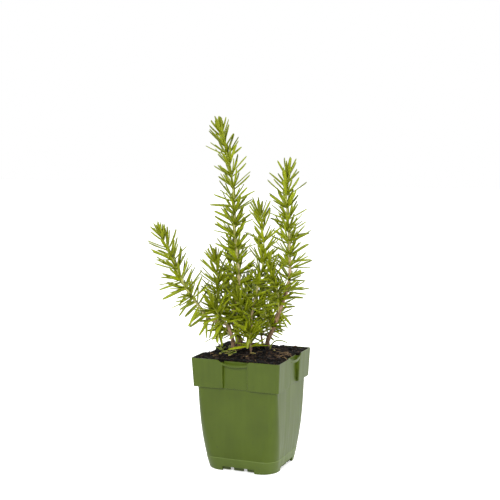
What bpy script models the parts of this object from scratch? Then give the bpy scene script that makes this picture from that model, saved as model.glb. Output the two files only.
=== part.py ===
# Rosemary in a square nursery pot: a moulded pot, its potting mix and seven leafy stems.
# Metres, +Z up. The origin is the middle of the pot's footprint, on the surface it stands on.
# The pot's four label slots face -Y, +X, +Y and -X. Sizes below are in millimetres.
import collections
import math
import random

import bmesh
import bpy
import numpy as np
from mathutils import Matrix, Vector, noise

MM = 0.001

# The pot.
POT_SIDE = 105.0
POT_HEIGHT = 128.0
WALL = 1.2
COLLAR_HEIGHT = 32.5
COLLAR_FOOT_HALF = POT_SIDE / 2 - 1.7
COLLAR_CORNER = 2.6
LEDGE = POT_HEIGHT - COLLAR_HEIGHT
BODY_TOP_HALF = 47.6
BODY_FOOT_HALF = 41.0
BODY_TOP_CORNER = 5.0
BODY_FOOT_CORNER = 19.0
BODY_CURVE = 2.86
CORNER_STEPS = 5
BAND_TOP = 14.5
BAND_STEP = 0.35
BAND_LEVELS = (0.0, 3.5, 8.0, BAND_TOP)
BODY_LEVELS = (BAND_TOP + 0.4, 22.0, 32.0, 46.0, 66.0, LEDGE)
FLOOR_UNDERSIDE = 5.6
FLOOR_TOP = FLOOR_UNDERSIDE + 1.4
SKIRT_WALL = 1.8
ARCH_WIDTH = 38.0
ARCH_HEIGHT = 4.9
RING_INSET = 1.5
RING_WALL = 2.0
RING_CLEARANCE = 1.2
CHANNEL_OFFSET = 8.0
CHANNEL_WIDTH = 4.4
BOSS_RADIUS = 5.0
DRAIN_RADIUS = 4.0
DRAIN_OFFSET = 21.0

# The label slot in the middle of each side of the collar, with the strap across it.
SLOT_WIDTH = 29.0
PANEL_HALF = BODY_TOP_HALF + 0.4
STRAP_OUT = POT_SIDE / 2 - 0.4
STRAP_THICKNESS = 1.2
STRAP_TOP = POT_HEIGHT - 3.0
STRAP_HEIGHT = 2.4
STRAP_SAG = 1.6
STRAP_BULGE = 1.4
STRAP_STATIONS = 7
PANEL_TOP = POT_HEIGHT - 1.6
LONG_DIP = (6.5, 3.2)
SHORT_DIP = (3.2, 2.0)

# The potting mix.
FIT_GAP = 0.3
SOIL_EDGE = POT_HEIGHT - 2.6
MOUND_HEIGHT = 6.0
MOUND_CENTRE = (-4.0, 14.0)
MOUND_SPREAD = 27.0
CRUMB_HEIGHT = 1.5
CRUMB_SIZE = 7.0
SOIL_CELLS = 15
BURIED = 24.0
HOLE_GAP = 0.4
MOUTH_FLARE = 2.4
MOUTH_DEPTH = 3.0
HOLE_SIDES = 8

# The stems and leaves. A full-grown leaf's length and width, and how its outline and keel go.
STEM_STEP = 7.5
LEAF_LENGTH = 27.0
LEAF_WIDTH = 2.8
LEAF_THICKNESS = 1.0
LEAF_ROOT_SHARE = 0.4
LEAF_WIDEST = 0.55
LEAF_CLEARANCE = 0.35
LEAF_OVER_SOIL = 1.6
RIM_MARGIN = 5.0

GREEN_PLASTIC = (0.11, 0.19, 0.03, 1.0)
DARK_PEAT = (0.018, 0.012, 0.009, 1.0)
LEAF_GREEN = (0.13, 0.22, 0.02, 1.0)

# Each stem's route runs from the potting mix, or from the fork, to its tip. radius: low and at the
# tip. bare: the length without leaves. gap: between leaf pairs, low and at the tip. tuft: the most
# small leaves in an axil, low and high. turn: the first pair's bearing. large: leaves on their own,
# each a distance along the stem, the way it points, its length and its width.
STEMS = {
    "tall_stem": {
        "route": [(-24, 17, 131), (-24, 16, 140), (-26, 11, 164), (-25, 8, 179), (-20, 7, 196),
                  (-18, 4, 214), (-19, 1, 239), (-20, -3, 265), (-19, -6, 292), (-21, -9, 326),
                  (-26, -13, 355), (-31, -16, 378)],
        "radius": (2.6, 0.8), "bare": 32, "gap": (14, 8.5), "tuft": (3, 2), "turn": 20, "seed": 11,
    },
    "left_stem": {
        "route": [(-26, 5, 130), (-26, 4, 140), (-29, -4, 158), (-37, -13, 163), (-45, -20, 167),
                  (-52, -27, 180), (-59, -32, 192), (-65, -36, 202), (-70, -41, 216),
                  (-76, -45, 233), (-82, -49, 248), (-88, -52, 263)],
        "radius": (2.5, 0.8), "bare": 86, "gap": (12.5, 7), "tuft": (3, 1), "turn": 60, "seed": 5,
        "large": [(44, (0.25, -0.1, -1.0), 27, 3.4), (41, (-0.1, -0.2, -1.0), 15, 2.6),
                  (59, (0.0, -0.1, -1.0), 24, 2.8), (66, (-0.72, -0.3, -0.62), 18, 3.0),
                  (74, (-0.48, -0.2, -0.86), 25, 3.0), (77, (-0.65, -0.27, -0.7), 20, 3.0),
                  (88, (-0.5, -0.2, -0.85), 26, 2.4), (100, (-0.83, -0.34, -0.42), 29, 3.0)],
    },
    "inner_left_branch": {
        "grows_from": "left_stem",
        "route": [(-37, -13, 163), (-38, -12, 170), (-39, -10, 184), (-40, -7, 208), (-41, -6, 224),
                  (-43, -7, 234)],
        "radius": (1.6, 0.8), "bare": 10, "gap": (11, 7), "tuft": (2, 1), "turn": 30, "seed": 3,
    },
    "low_left_branch": {
        "grows_from": "left_stem",
        "route": [(-29, -4, 158), (-30, -11, 164), (-33, -20, 173), (-37, -28, 184)],
        "radius": (1.3, 0.7), "bare": 9, "gap": (9, 6), "tuft": (1, 1), "turn": 50, "seed": 15,
    },
    "back_stem": {
        "route": [(-27, 33, 129), (-27, 32, 136), (-34, 27, 150), (-40, 24, 168), (-41, 21, 189),
                  (-40, 22, 210), (-38, 24, 228), (-36, 24, 242)],
        "radius": (1.7, 0.8), "bare": 18, "gap": (12, 7), "tuft": (2, 1), "turn": 10, "seed": 8,
    },
    "centre_stem": {
        "route": [(-6, 12, 133), (-6, 12, 140), (-4, 8, 166), (0, 7, 187), (6, 7, 209), (10, 8, 230),
                  (11, 8, 248), (10, 6, 268), (8, 4, 287)],
        "radius": (1.7, 0.8), "bare": 20, "gap": (13, 8), "tuft": (3, 1), "turn": 0, "seed": 21,
    },
    "front_branch": {
        "grows_from": "centre_stem",
        "route": [(-5, 11, 152), (-6, 5, 160), (-9, -3, 174), (-13, -11, 190)],
        "radius": (1.3, 0.7), "bare": 9, "gap": (9, 6), "tuft": (2, 1), "turn": 20, "seed": 16,
    },
    "right_stem": {
        "route": [(8, 27, 132), (9, 27, 139), (17, 28, 157), (21, 29, 170), (26, 30, 184),
                  (31, 31, 198), (34, 30, 214), (35, 28, 232), (35, 26, 254), (34, 24, 277),
                  (33, 21, 301), (34, 19, 316), (35, 19, 330)],
        "radius": (2.9, 0.8), "bare": 68, "gap": (14, 8.5), "tuft": (3, 2), "turn": 15, "seed": 7,
        "large": [(42, (0.8, 0.0, -0.66), 20, 2.8), (37, (0.3, 0.05, -1.0), 16, 2.2),
                  (46, (0.93, 0.38, 0.25), 18, 2.4), (60, (0.95, 0.3, 0.1), 22, 2.4)],
    },
    "inner_right_branch": {
        "grows_from": "right_stem",
        "route": [(21, 29, 170), (22, 25, 180), (24, 20, 191), (23, 14, 202), (20, 8, 213),
                  (20, 5, 221), (20, 4, 228)],
        "radius": (1.5, 0.8), "bare": 8, "gap": (9.5, 6), "tuft": (2, 1), "turn": 45, "seed": 4,
    },
    "low_right_branch": {
        "grows_from": "right_stem",
        "route": [(13, 28, 148), (12, 24, 156), (9, 18, 170), (7, 12, 184)],
        "radius": (1.3, 0.7), "bare": 9, "gap": (9, 6), "tuft": (2, 1), "turn": 0, "seed": 17,
    },
    "low_centre_shoot": {
        "route": [(0, -5, 131), (0, -6, 138), (-1, -7, 147), (0, -8, 156)],
        "radius": (1.2, 0.7), "bare": 6, "gap": (8, 5), "tuft": (1, 1), "turn": 30, "seed": 2,
    },
    "low_back_shoot": {
        "route": [(-2, 37, 130), (-3, 37, 137), (-6, 38, 150), (-8, 38, 163), (-8, 40, 178),
                  (-6, 42, 190)],
        "radius": (1.4, 0.8), "bare": 12, "gap": (11, 7), "tuft": (2, 1), "turn": 0, "seed": 9,
    },
}

# The angle between leaf and stem, in degrees, along the leafy stretch from its start to the tip.
LEAN_AT = ((0, 0.25, 0.6, 0.88, 1), (88, 74, 62, 50, 28))
SIZE_AT = ((0, 0.3, 0.8, 1), (1.0, 1.0, 0.96, 0.84))
TIP_LEAVES = 9

# bend is how the leaf curls along its length, and face is the way its flat upper side looks.
Leaf = collections.namedtuple("Leaf", "root way bend face length width")
Stem = collections.namedtuple("Stem", "points along leaves")


# Growth: where each stem and leaf stands.
def unit(v):
    return v / np.linalg.norm(v)


def soil_level(x, y):
    """Height of the potting mix."""
    away = math.hypot(x - MOUND_CENTRE[0], y - MOUND_CENTRE[1]) / MOUND_SPREAD
    crumb = noise.noise(Vector((x / CRUMB_SIZE, y / CRUMB_SIZE, 3.1)))
    return SOIL_EDGE + MOUND_HEIGHT * math.exp(-away * away) + CRUMB_HEIGHT * crumb


def smooth_route(route, step):
    """Points about step apart on a smooth curve through the route, and their distances along it."""
    p = np.array(route, float)
    p = np.vstack([2 * p[0] - p[1], p, 2 * p[-1] - p[-2]])
    fine = []
    for a, b, c, d in zip(p, p[1:], p[2:], p[3:]):
        for t in np.linspace(0, 1, 12, endpoint=False):
            square, cube = t * t, t * t * t
            fine.append(0.5 * (2 * b + (c - a) * t + (2 * a - 5 * b + 4 * c - d) * square
                               + (3 * b - a - 3 * c + d) * cube))
    fine = np.array(fine + [p[-2]])
    along = np.concatenate([[0], np.cumsum(np.linalg.norm(np.diff(fine, axis=0), axis=1))])
    wanted = np.linspace(0, along[-1], max(2, round(along[-1] / step)) + 1)
    return np.stack([np.interp(wanted, along, fine[:, k]) for k in range(3)], axis=1), wanted


def point_on(points, along, s):
    return np.array([np.interp(s, along, points[:, k]) for k in range(3)])


def way_on(points, along, s):
    return unit(point_on(points, along, s + 2) - point_on(points, along, s - 2))


def leaf_at(leaf, share):
    """Point on the leaf's centre line, at a share of its length."""
    return leaf.root + leaf.length * (leaf.way * share + leaf.bend * share * share / 2)


def make_leaf(root, tangent, bearing, lean, curl, length, width):
    across = unit(np.array((1.0, 0, 0)) - tangent[0] * tangent)
    outward = np.cross(tangent, across)
    spread = math.cos(bearing) * across + math.sin(bearing) * outward
    way = math.cos(lean) * tangent + math.sin(lean) * spread
    face = math.sin(lean) * tangent - math.cos(lean) * spread
    return Leaf(root, way, curl * face, face, length, width)


def hanging_leaf(root, way, length, width):
    way = unit(np.array(way))
    face = unit(np.array((0.0, -1.0, 0)) + way[1] * way)
    return Leaf(root, way, np.array((0.0, 0, -0.12)), face, length, width)


class Thicket:
    """The stems and leaves placed so far, each as straight runs with a radius."""

    def __init__(self):
        self.runs, self.owners, self.leafy = [], [], []

    def add(self, points, radii, owner, leafy):
        for a, b, r in zip(points, points[1:], radii):
            self.runs.append([*a, *b, r])
            self.owners.append(owner)
            self.leafy.append(leafy)

    def add_leaf(self, leaf, owner):
        self.add([leaf_at(leaf, share) for share in (0, 0.5, 1)], [leaf.width / 2] * 2, owner, True)

    def room(self, leaf, owner):
        """Whether the leaf clears other stems' runs, and its outer half its own stem's too."""
        runs, own, leafy = np.array(self.runs), np.array(self.owners) == owner, np.array(self.leafy)
        points = [leaf_at(leaf, share) for share in (0, 0.5, 1)]
        for half, (a, b) in enumerate(zip(points, points[1:])):
            gaps = run_distances(a, b, runs[:, :3], runs[:, 3:6]) - runs[:, 6] - leaf.width / 2
            if (gaps[~own] < LEAF_CLEARANCE).any():
                return False
            if half and ((gaps[own & leafy] < -0.4).any() or (gaps[own & ~leafy] < 0).any()):
                return False
        return True


def run_distances(a, b, starts, ends):
    """Least distance between the straight run a-b and each of several."""
    d1, d2, r = b - a, ends - starts, a - starts
    aa, ee = d1 @ d1, np.einsum("ij,ij->i", d2, d2)
    ff, cc, bb = np.einsum("ij,ij->i", d2, r), r @ d1, d2 @ d1
    below = aa * ee - bb * bb
    s = np.where(below > 1e-9, np.clip((bb * ff - cc * ee) / np.maximum(below, 1e-9), 0, 1), 0)
    t = np.clip((bb * s + ff) / ee, 0, 1)
    s = np.clip((t * bb - cc) / aa, 0, 1)
    return np.linalg.norm((a + s[:, None] * d1) - (starts + t[:, None] * d2), axis=1)


def above_the_pot(leaf):
    """Whether the leaf clears the potting mix and the pot's rim."""
    for share in (0.35, 0.6, 0.8, 1):
        x, y, z = leaf_at(leaf, share)
        if z < soil_level(x, y) + LEAF_OVER_SOIL:
            return False
        if max(abs(x), abs(y)) > POT_SIDE / 2 - RIM_MARGIN and z < POT_HEIGHT + 2:
            return False
    return True


def wanted_leaves(stem, points, along):
    """Each leaf as it would grow in free air: distance, bearing, lean, curl, length and width."""
    draw = random.Random(stem["seed"])
    top, start = along[-1], stem["bare"]
    s, turn = start, math.radians(stem["turn"])
    while s < top - 3:
        share = (s - start) / (top - start)
        lean, size = np.interp(share, *LEAN_AT), np.interp(share, *SIZE_AT) * LEAF_LENGTH
        tuft = round(np.interp(share, (0, 1), stem["tuft"]))
        for side in (0, math.pi):
            bearing = turn + side + math.radians(draw.uniform(-14, 14))
            yield (s, bearing, math.radians(lean + draw.uniform(-9, 9)), draw.uniform(-0.16, 0.26),
                   size * draw.uniform(0.84, 1.1), LEAF_WIDTH)
            for k in range(tuft):
                swing = (-1) ** k * draw.uniform(28, 58)
                yield (s + draw.uniform(1, 3) + k, bearing + math.radians(swing),
                       math.radians(lean * draw.uniform(0.55, 0.9)), draw.uniform(-0.1, 0.3),
                       size * draw.uniform(0.6, 0.95), 0.85 * LEAF_WIDTH)
        s += np.interp(share, (0, 0.7, 1), (stem["gap"][0], stem["gap"][0], stem["gap"][1]))
        turn += math.pi / 2 + math.radians(draw.uniform(-12, 12))
    for k in range(TIP_LEAVES):
        yield (top - 3.5 + 0.3 * k, turn + k * math.radians(137.5), math.radians(33 - 3.1 * k),
               draw.uniform(-0.1, 0.2), LEAF_LENGTH * draw.uniform(0.5, 0.85), 0.9 * LEAF_WIDTH)


def bent_clear(bearing, lean, length):
    """The leaf as wanted, then swung, tilted or shortened, a little more each time."""
    yield bearing, lean, length
    for swing, tilt, share in ((14, 0, 1), (-14, 0, 1), (0, 12, 1), (0, -14, 1), (28, 0, 0.92),
                               (-28, 0, 0.92), (16, -16, 0.85), (-16, -16, 0.85), (0, 0, 0.62)):
        yield bearing + math.radians(swing), lean + math.radians(tilt), length * share


def grow():
    """{stem or branch: Stem}, with every leaf clear of the others' stems, the mix and the pot."""
    lines = {name: smooth_route(stem["route"], STEM_STEP) for name, stem in STEMS.items()}
    thicket = Thicket()
    for name, (points, along) in lines.items():
        thicket.add(points, np.interp(along, (0, along[-1]), STEMS[name]["radius"]), name, False)
    grown = {}
    for name, (points, along) in lines.items():
        leaves = [hanging_leaf(point_on(points, along, s), way, length, width)
                  for s, way, length, width in STEMS[name].get("large", ())]
        for leaf in leaves:
            thicket.add_leaf(leaf, name)
        grown[name] = Stem(points, along, leaves)
    for name, (points, along) in lines.items():
        for s, bearing, lean, curl, length, width in wanted_leaves(STEMS[name], points, along):
            for b, le, size in bent_clear(bearing, lean, length):
                leaf = make_leaf(point_on(points, along, s), way_on(points, along, s), b, le, curl,
                                 size, width)
                if above_the_pot(leaf) and thicket.room(leaf, name):
                    thicket.add_leaf(leaf, name)
                    grown[name].leaves.append(leaf)
                    break
    return grown


# Helpers.
def clear_scene():
    for obj in list(bpy.data.objects):
        bpy.data.objects.remove(obj, do_unlink=True)


def new_collection(name, holder=None):
    collection = bpy.data.collections.new(name)
    (holder or bpy.context.scene.collection).children.link(collection)
    return collection


def material(name, colour, roughness):
    made = bpy.data.materials.new(name)
    made.use_nodes = True
    surface = made.node_tree.nodes["Principled BSDF"]
    surface.inputs["Base Color"].default_value = colour
    surface.inputs["Roughness"].default_value = roughness
    made.diffuse_color = colour
    return made


def new_object(name, bm, collection, surface=None):
    """The mesh, modelled in millimetres, as an object in metres."""
    bmesh.ops.recalc_face_normals(bm, faces=bm.faces)
    bmesh.ops.scale(bm, vec=(MM, MM, MM), verts=bm.verts)
    mesh = bpy.data.meshes.new(name)
    bm.to_mesh(mesh)
    bm.free()
    if surface:
        mesh.materials.append(surface)
    obj = bpy.data.objects.new(name, mesh)
    collection.objects.link(obj)
    return obj


def helper(name, bm, collection, turn=0.0):
    """A cutter or a piece to be joined, turned about the pot's axis and left out of the render."""
    obj = new_object(name, bm, collection)
    obj.matrix_world = Matrix.Rotation(turn, 4, "Z")
    obj.hide_render = True
    obj.display_type = "WIRE"
    return obj


def box(low, high):
    bm = bmesh.new()
    bmesh.ops.create_cube(bm, size=1)
    size = Vector(high) - Vector(low)
    bmesh.ops.scale(bm, vec=size, verts=bm.verts)
    bmesh.ops.translate(bm, vec=(Vector(high) + Vector(low)) / 2, verts=bm.verts)
    return bm


def loft(rings):
    """A closed solid through unlike rings of as many points each."""
    bm = bmesh.new()
    rows = [[bm.verts.new(point) for point in ring] for ring in rings]
    for low, high in zip(rows, rows[1:]):
        for k in range(len(low)):
            after = (k + 1) % len(low)
            bm.faces.new((low[k], low[after], high[after], high[k]))
    bm.faces.new(rows[0][::-1])
    bm.faces.new(rows[-1])
    return bm


def rounded_square(half, corner, z):
    points = []
    for quarter in range(4):
        middle = math.radians(45 + 90 * quarter)
        centre = Vector((math.cos(middle), math.sin(middle))) * (half - corner) * math.sqrt(2)
        for step in range(CORNER_STEPS + 1):
            turn = math.radians(90 * quarter + 90 * step / CORNER_STEPS)
            points.append((centre.x + corner * math.cos(turn), centre.y + corner * math.sin(turn), z))
    return points


def circle(x, y, z, radius, sides):
    turns = [2 * math.pi * k / sides for k in range(sides)]
    return [(x + radius * math.cos(turn), y + radius * math.sin(turn), z) for turn in turns]


def boolean(obj, operation, tool, solver="EXACT"):
    cut = obj.modifiers.new(operation.lower(), "BOOLEAN")
    cut.operation = operation
    cut.solver = solver
    if isinstance(tool, bpy.types.Collection):
        cut.operand_type = "COLLECTION"
        cut.collection = tool
    else:
        cut.object = tool


# The pot.
def body_ring(z, inset):
    """Section of the pot's body below its collar, set in by inset."""
    share = z / LEDGE
    half = BODY_FOOT_HALF + (BODY_TOP_HALF - BODY_FOOT_HALF) * (1 - (1 - share) ** BODY_CURVE)
    corner = BODY_FOOT_CORNER + (BODY_TOP_CORNER - BODY_FOOT_CORNER) * share
    return rounded_square(half - inset, corner - inset, z)


def collar_ring(z, share, inset):
    half = COLLAR_FOOT_HALF + (POT_SIDE / 2 - COLLAR_FOOT_HALF) * share
    return rounded_square(half - inset, COLLAR_CORNER - inset, z)


def pot_outside():
    rings = [body_ring(z, -BAND_STEP) for z in BAND_LEVELS]
    rings += [body_ring(z, 0) for z in BODY_LEVELS]
    return loft(rings + [collar_ring(LEDGE, 0, 0), collar_ring(POT_HEIGHT, 1, 0)])


def pot_inside(inset, bottom, top):
    """The space in the pot, set in from the outside by inset."""
    levels = [z for z in BAND_LEVELS + BODY_LEVELS if bottom < z < LEDGE]
    rings = [body_ring(bottom, inset)] + [body_ring(z, inset) for z in levels]
    rings.append([(x, y, LEDGE + inset) for x, y, _ in body_ring(LEDGE, inset)])
    rings += [collar_ring(LEDGE + inset + 0.2, 0, inset), collar_ring(POT_HEIGHT, 1, inset)]
    if top > POT_HEIGHT:
        rings.append(collar_ring(top, 1, inset))
    return loft(rings)


def panel_blocks(name, inset, cutters):
    """What the label slots take from the space in the pot."""
    blocks = new_collection(name, cutters)
    half = SLOT_WIDTH / 2 + inset
    for side in range(4):
        block = box((-half, -POT_SIDE, LEDGE - 6), (half, inset - PANEL_HALF, POT_HEIGHT + 9))
        helper(f"panel_block_{side}", block, blocks, side * math.pi / 2)
    return blocks


def strap():
    """The strap across a label slot: a flat section swept over the slot, bowed out and sagging."""
    rings = []
    reach = SLOT_WIDTH / 2 + 0.7
    for k in range(STRAP_STATIONS):
        x = reach * (2 * k / (STRAP_STATIONS - 1) - 1)
        bow = 1 - (x / reach) ** 2
        out = -STRAP_OUT - STRAP_BULGE * bow
        top = STRAP_TOP - STRAP_SAG * bow
        low = top - STRAP_HEIGHT
        rings.append([(x, out + STRAP_THICKNESS, low), (x, out, low), (x, out, top),
                      (x, out + STRAP_THICKNESS, top)])
    return loft(rings)


def rim_dip(hand, length, depth):
    """A wedge off the rim beside a label slot."""
    near, far = hand * (SLOT_WIDTH / 2 - 0.6), hand * (SLOT_WIDTH / 2 + length)
    above = POT_HEIGHT + 3
    return loft([[(near, y, POT_HEIGHT - depth), (far, y, POT_HEIGHT), (far, y, above),
                  (near, y, above)] for y in (-POT_SIDE / 2 - 3, WALL + 1 - PANEL_HALF)])


def pot_cuts(cutters):
    """Label slots, rim dips, drain holes, foot arches and the hollow under the floor."""
    cuts = new_collection("Pot cuts", cutters)
    half = SLOT_WIDTH / 2
    for side in range(4):
        turn = side * math.pi / 2
        slot = box((-half, -POT_SIDE, LEDGE - 2), (half, -PANEL_HALF, POT_HEIGHT + 2))
        helper(f"slot_{side}", slot, cuts, turn)
        long_hand = 1 if side else -1
        helper(f"long_dip_{side}", rim_dip(long_hand, *LONG_DIP), cuts, turn)
        helper(f"short_dip_{side}", rim_dip(-long_hand, *SHORT_DIP), cuts, turn)
        lowered = box((-half, -POT_SIDE, PANEL_TOP), (half, WALL + 1 - PANEL_HALF, POT_HEIGHT + 2))
        helper(f"lowered_panel_{side}", lowered, cuts, turn)
    for turn in (0, math.pi / 2):
        reach = ARCH_WIDTH / 2
        arch = box((-reach, -POT_SIDE, -2), (reach, POT_SIDE, ARCH_HEIGHT))
        helper("foot_arch", arch, cuts, turn)
    under = [body_ring(z, SKIRT_WALL) for z in (0, FLOOR_UNDERSIDE)]
    under.insert(0, [(x, y, -2) for x, y, _ in under[0]])
    helper("hollow_foot", loft(under), cuts)
    for i in (-1, 0, 1):
        for j in (-1, 0, 1):
            if i or j:
                x, y = i * DRAIN_OFFSET, j * DRAIN_OFFSET
                hole = [circle(x, y, z, DRAIN_RADIUS, 10) for z in (0, FLOOR_TOP + 3)]
                helper("drain", loft(hole), cuts)
    return cuts


def foot_ring(joined, cutters):
    """The rib behind the feet and their arches, notched for drainage."""
    outer = [body_ring(z, RING_INSET) for z in (RING_CLEARANCE, FLOOR_UNDERSIDE + 0.5)]
    ring = helper("foot_ring", loft(outer), joined)
    cuts = new_collection("Foot ring cuts", cutters)
    inner = [body_ring(z, RING_INSET + RING_WALL) for z in (0, FLOOR_TOP)]
    helper("ring_space", loft(inner), cuts)
    for turn in (0, math.pi / 2):
        for middle in (-CHANNEL_OFFSET, CHANNEL_OFFSET):
            low, high = middle - CHANNEL_WIDTH / 2, middle + CHANNEL_WIDTH / 2
            notch = box((low, -POT_SIDE / 2, -2), (high, POT_SIDE / 2, ARCH_HEIGHT))
            helper("ring_notch", notch, cuts, turn)
    boolean(ring, "DIFFERENCE", cuts)


def make_pot(parts, cutters, plastic):
    pot = new_object("pot", pot_outside(), parts, plastic)
    space = helper("pot_space", pot_inside(WALL, FLOOR_TOP, POT_HEIGHT + 6), cutters)
    boolean(space, "DIFFERENCE", panel_blocks("Panel blocks", WALL, cutters))
    joined = new_collection("Pot joined pieces", cutters)
    for side in range(4):
        helper(f"strap_{side}", strap(), joined, side * math.pi / 2)
    foot_ring(joined, cutters)
    boss = [circle(0, 0, z, BOSS_RADIUS, 16) for z in (0, FLOOR_UNDERSIDE + 0.5)]
    helper("centre_boss", loft(boss), joined)
    boolean(pot, "DIFFERENCE", pot_cuts(cutters))
    boolean(pot, "DIFFERENCE", space)
    boolean(pot, "UNION", joined)


# The potting mix.
def terrain():
    """A block whose top is the surface of the potting mix."""
    bm = bmesh.new()
    bmesh.ops.create_grid(bm, x_segments=SOIL_CELLS, y_segments=SOIL_CELLS, size=POT_SIDE / 2 + 2)
    bmesh.ops.triangulate(bm, faces=bm.faces)
    for vert in bm.verts:
        vert.co.z = soil_level(vert.co.x, vert.co.y)
    lower = bmesh.ops.extrude_face_region(bm, geom=bm.faces[:])
    for item in lower["geom"]:
        if isinstance(item, bmesh.types.BMVert):
            item.co.z = 0
    return bm


def stem_foot(route):
    x, y, _ = route[0]
    return x, y, soil_level(x, y) - BURIED


def stem_hole(stem):
    """A plain hole for the stem's foot, flared at its mouth."""
    x, y, foot = stem_foot(stem["route"])
    radius = (stem["radius"][0] + HOLE_GAP) / math.cos(math.pi / HOLE_SIDES)
    level = foot + BURIED
    sizes = [(foot - HOLE_GAP, radius), (level - MOUTH_DEPTH, radius), (level, radius + MOUTH_FLARE),
             (level + 8, radius + MOUTH_FLARE)]
    return loft([circle(x, y, z, size, HOLE_SIDES) for z, size in sizes])


def make_soil(parts, cutters, peat):
    soil = new_object("potting_soil", pot_inside(WALL + FIT_GAP, FLOOR_TOP + FIT_GAP, 0), parts, peat)
    top = helper("terrain", terrain(), cutters)
    holes = new_collection("Stem holes", cutters)
    for name, stem in STEMS.items():
        if "grows_from" not in stem:
            helper(f"hole_{name}", stem_hole(stem), holes)
    boolean(soil, "DIFFERENCE", panel_blocks("Mix panel blocks", WALL + FIT_GAP, cutters))
    boolean(soil, "INTERSECT", top)
    boolean(soil, "DIFFERENCE", holes)


# The leafy stems.
def leaf_pattern():
    """One leaf as long as 1, with three sides: the widest point is 1 across and 1 deep."""
    bm = bmesh.new()
    bmesh.ops.create_cone(bm, cap_ends=True, segments=3, radius1=LEAF_ROOT_SHARE, radius2=1,
                          depth=LEAF_WIDEST)
    bmesh.ops.translate(bm, vec=(0, 0, LEAF_WIDEST / 2), verts=bm.verts)
    end = max(bm.faces, key=lambda face: face.calc_center_median().z)
    bmesh.ops.poke(bm, faces=[end], offset=1 - LEAF_WIDEST)
    turn = Matrix.Rotation(math.pi, 4, "Z")
    bmesh.ops.transform(bm, matrix=turn, verts=bm.verts)
    mesh = bpy.data.meshes.new("leaf")
    bm.to_mesh(mesh)
    bm.free()
    return mesh


def placed_leaf(pattern, leaf):
    """The pattern bent along the leaf's centre line, its flat side on the leaf's face."""
    bm = bmesh.new()
    bm.from_mesh(pattern)
    across = unit(np.cross(leaf.way, leaf.face))
    for vert in bm.verts:
        x, y, share = vert.co
        side = across * x * leaf.width / math.sqrt(3) + leaf.face * y * LEAF_THICKNESS / 1.5
        vert.co = leaf_at(leaf, share) + side
    return bm


def stem_solid(name, stem, grown, cutters):
    """The stem's wood: a tapered tube with closed ends, made a mesh."""
    points = [tuple(point) for point in grown.points]
    radii = list(np.interp(grown.along, (0, grown.along[-1]), stem["radius"]))
    if "grows_from" not in stem:
        points.insert(0, stem_foot(stem["route"]))
        radii.insert(0, radii[0])
    curve = bpy.data.curves.new(name, "CURVE")
    curve.dimensions = "3D"
    curve.bevel_depth = MM
    curve.bevel_resolution = 1
    curve.use_fill_caps = True
    line = curve.splines.new("POLY")
    line.points.add(len(points) - 1)
    for point, place, radius in zip(line.points, points, radii):
        point.co = (*(Vector(place) * MM), 1)
        point.radius = radius
    guide = bpy.data.objects.new(name, curve)
    cutters.objects.link(guide)
    graph = bpy.context.evaluated_depsgraph_get()
    mesh = bpy.data.meshes.new_from_object(guide.evaluated_get(graph))
    bpy.data.objects.remove(guide)
    bm = bmesh.new()
    bm.from_mesh(mesh)
    bmesh.ops.remove_doubles(bm, verts=bm.verts, dist=1e-6)
    bmesh.ops.scale(bm, vec=(1 / MM, 1 / MM, 1 / MM), verts=bm.verts)
    return bm


def make_leafy_stem(name, grown, parts, cutters, pattern, leaf_green):
    """The stem with its branches and leaves, joined in one solid."""
    members = [key for key, stem in STEMS.items() if name in (key, stem.get("grows_from"))]
    stem = new_object(name, stem_solid(name, STEMS[name], grown[name], cutters), parts, leaf_green)
    joined = new_collection(f"{name} joined", cutters)
    for member in members:
        if member != name:
            helper(member, stem_solid(member, STEMS[member], grown[member], cutters), joined)
        for leaf in grown[member].leaves:
            helper("leaf", placed_leaf(pattern, leaf), joined)
    boolean(stem, "UNION", joined)
    graph = bpy.context.evaluated_depsgraph_get()
    whole = bpy.data.meshes.new_from_object(stem.evaluated_get(graph))
    stem.modifiers.clear()
    stem.data = whole
    for obj in list(joined.objects):
        bpy.data.objects.remove(obj, do_unlink=True)
    bpy.data.collections.remove(joined)


def main():
    clear_scene()
    parts = new_collection("Potted rosemary")
    cutters = new_collection("Cutters")
    make_pot(parts, cutters, material("green plastic", GREEN_PLASTIC, 0.45))
    make_soil(parts, cutters, material("dark peat", DARK_PEAT, 0.95))
    leaf_green = material("rosemary leaf", LEAF_GREEN, 0.5)
    grown = grow()
    pattern = leaf_pattern()
    for name, stem in STEMS.items():
        if "grows_from" not in stem:
            make_leafy_stem(name, grown, parts, cutters, pattern, leaf_green)


main()
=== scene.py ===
# The looks of a potted rosemary: bark and leaves on every stem, crumbled potting mix with litter
# on it, and a moulded pot. Sizes that are shared with the solids are in millimetres and keep the
# solids' names; pieces are made in metres, in the solids' frame, with the pot's axis on Z.
import collections
import contextlib
import functools
import math
import random

import bmesh
import bpy
import numpy as np
from mathutils import Matrix, Vector, noise


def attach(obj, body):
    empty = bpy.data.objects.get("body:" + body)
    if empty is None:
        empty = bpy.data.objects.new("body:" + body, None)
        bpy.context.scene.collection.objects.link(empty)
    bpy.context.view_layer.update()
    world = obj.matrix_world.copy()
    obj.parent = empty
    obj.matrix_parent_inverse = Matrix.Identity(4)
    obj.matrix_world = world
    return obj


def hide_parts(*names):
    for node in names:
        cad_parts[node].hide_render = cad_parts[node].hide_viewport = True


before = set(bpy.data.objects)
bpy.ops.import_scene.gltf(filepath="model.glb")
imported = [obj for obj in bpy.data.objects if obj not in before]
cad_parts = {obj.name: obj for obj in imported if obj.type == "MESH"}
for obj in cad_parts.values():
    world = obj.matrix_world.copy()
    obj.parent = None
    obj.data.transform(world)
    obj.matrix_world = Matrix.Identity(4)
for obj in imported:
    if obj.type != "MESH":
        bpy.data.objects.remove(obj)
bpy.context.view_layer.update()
MM = 0.001

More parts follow.
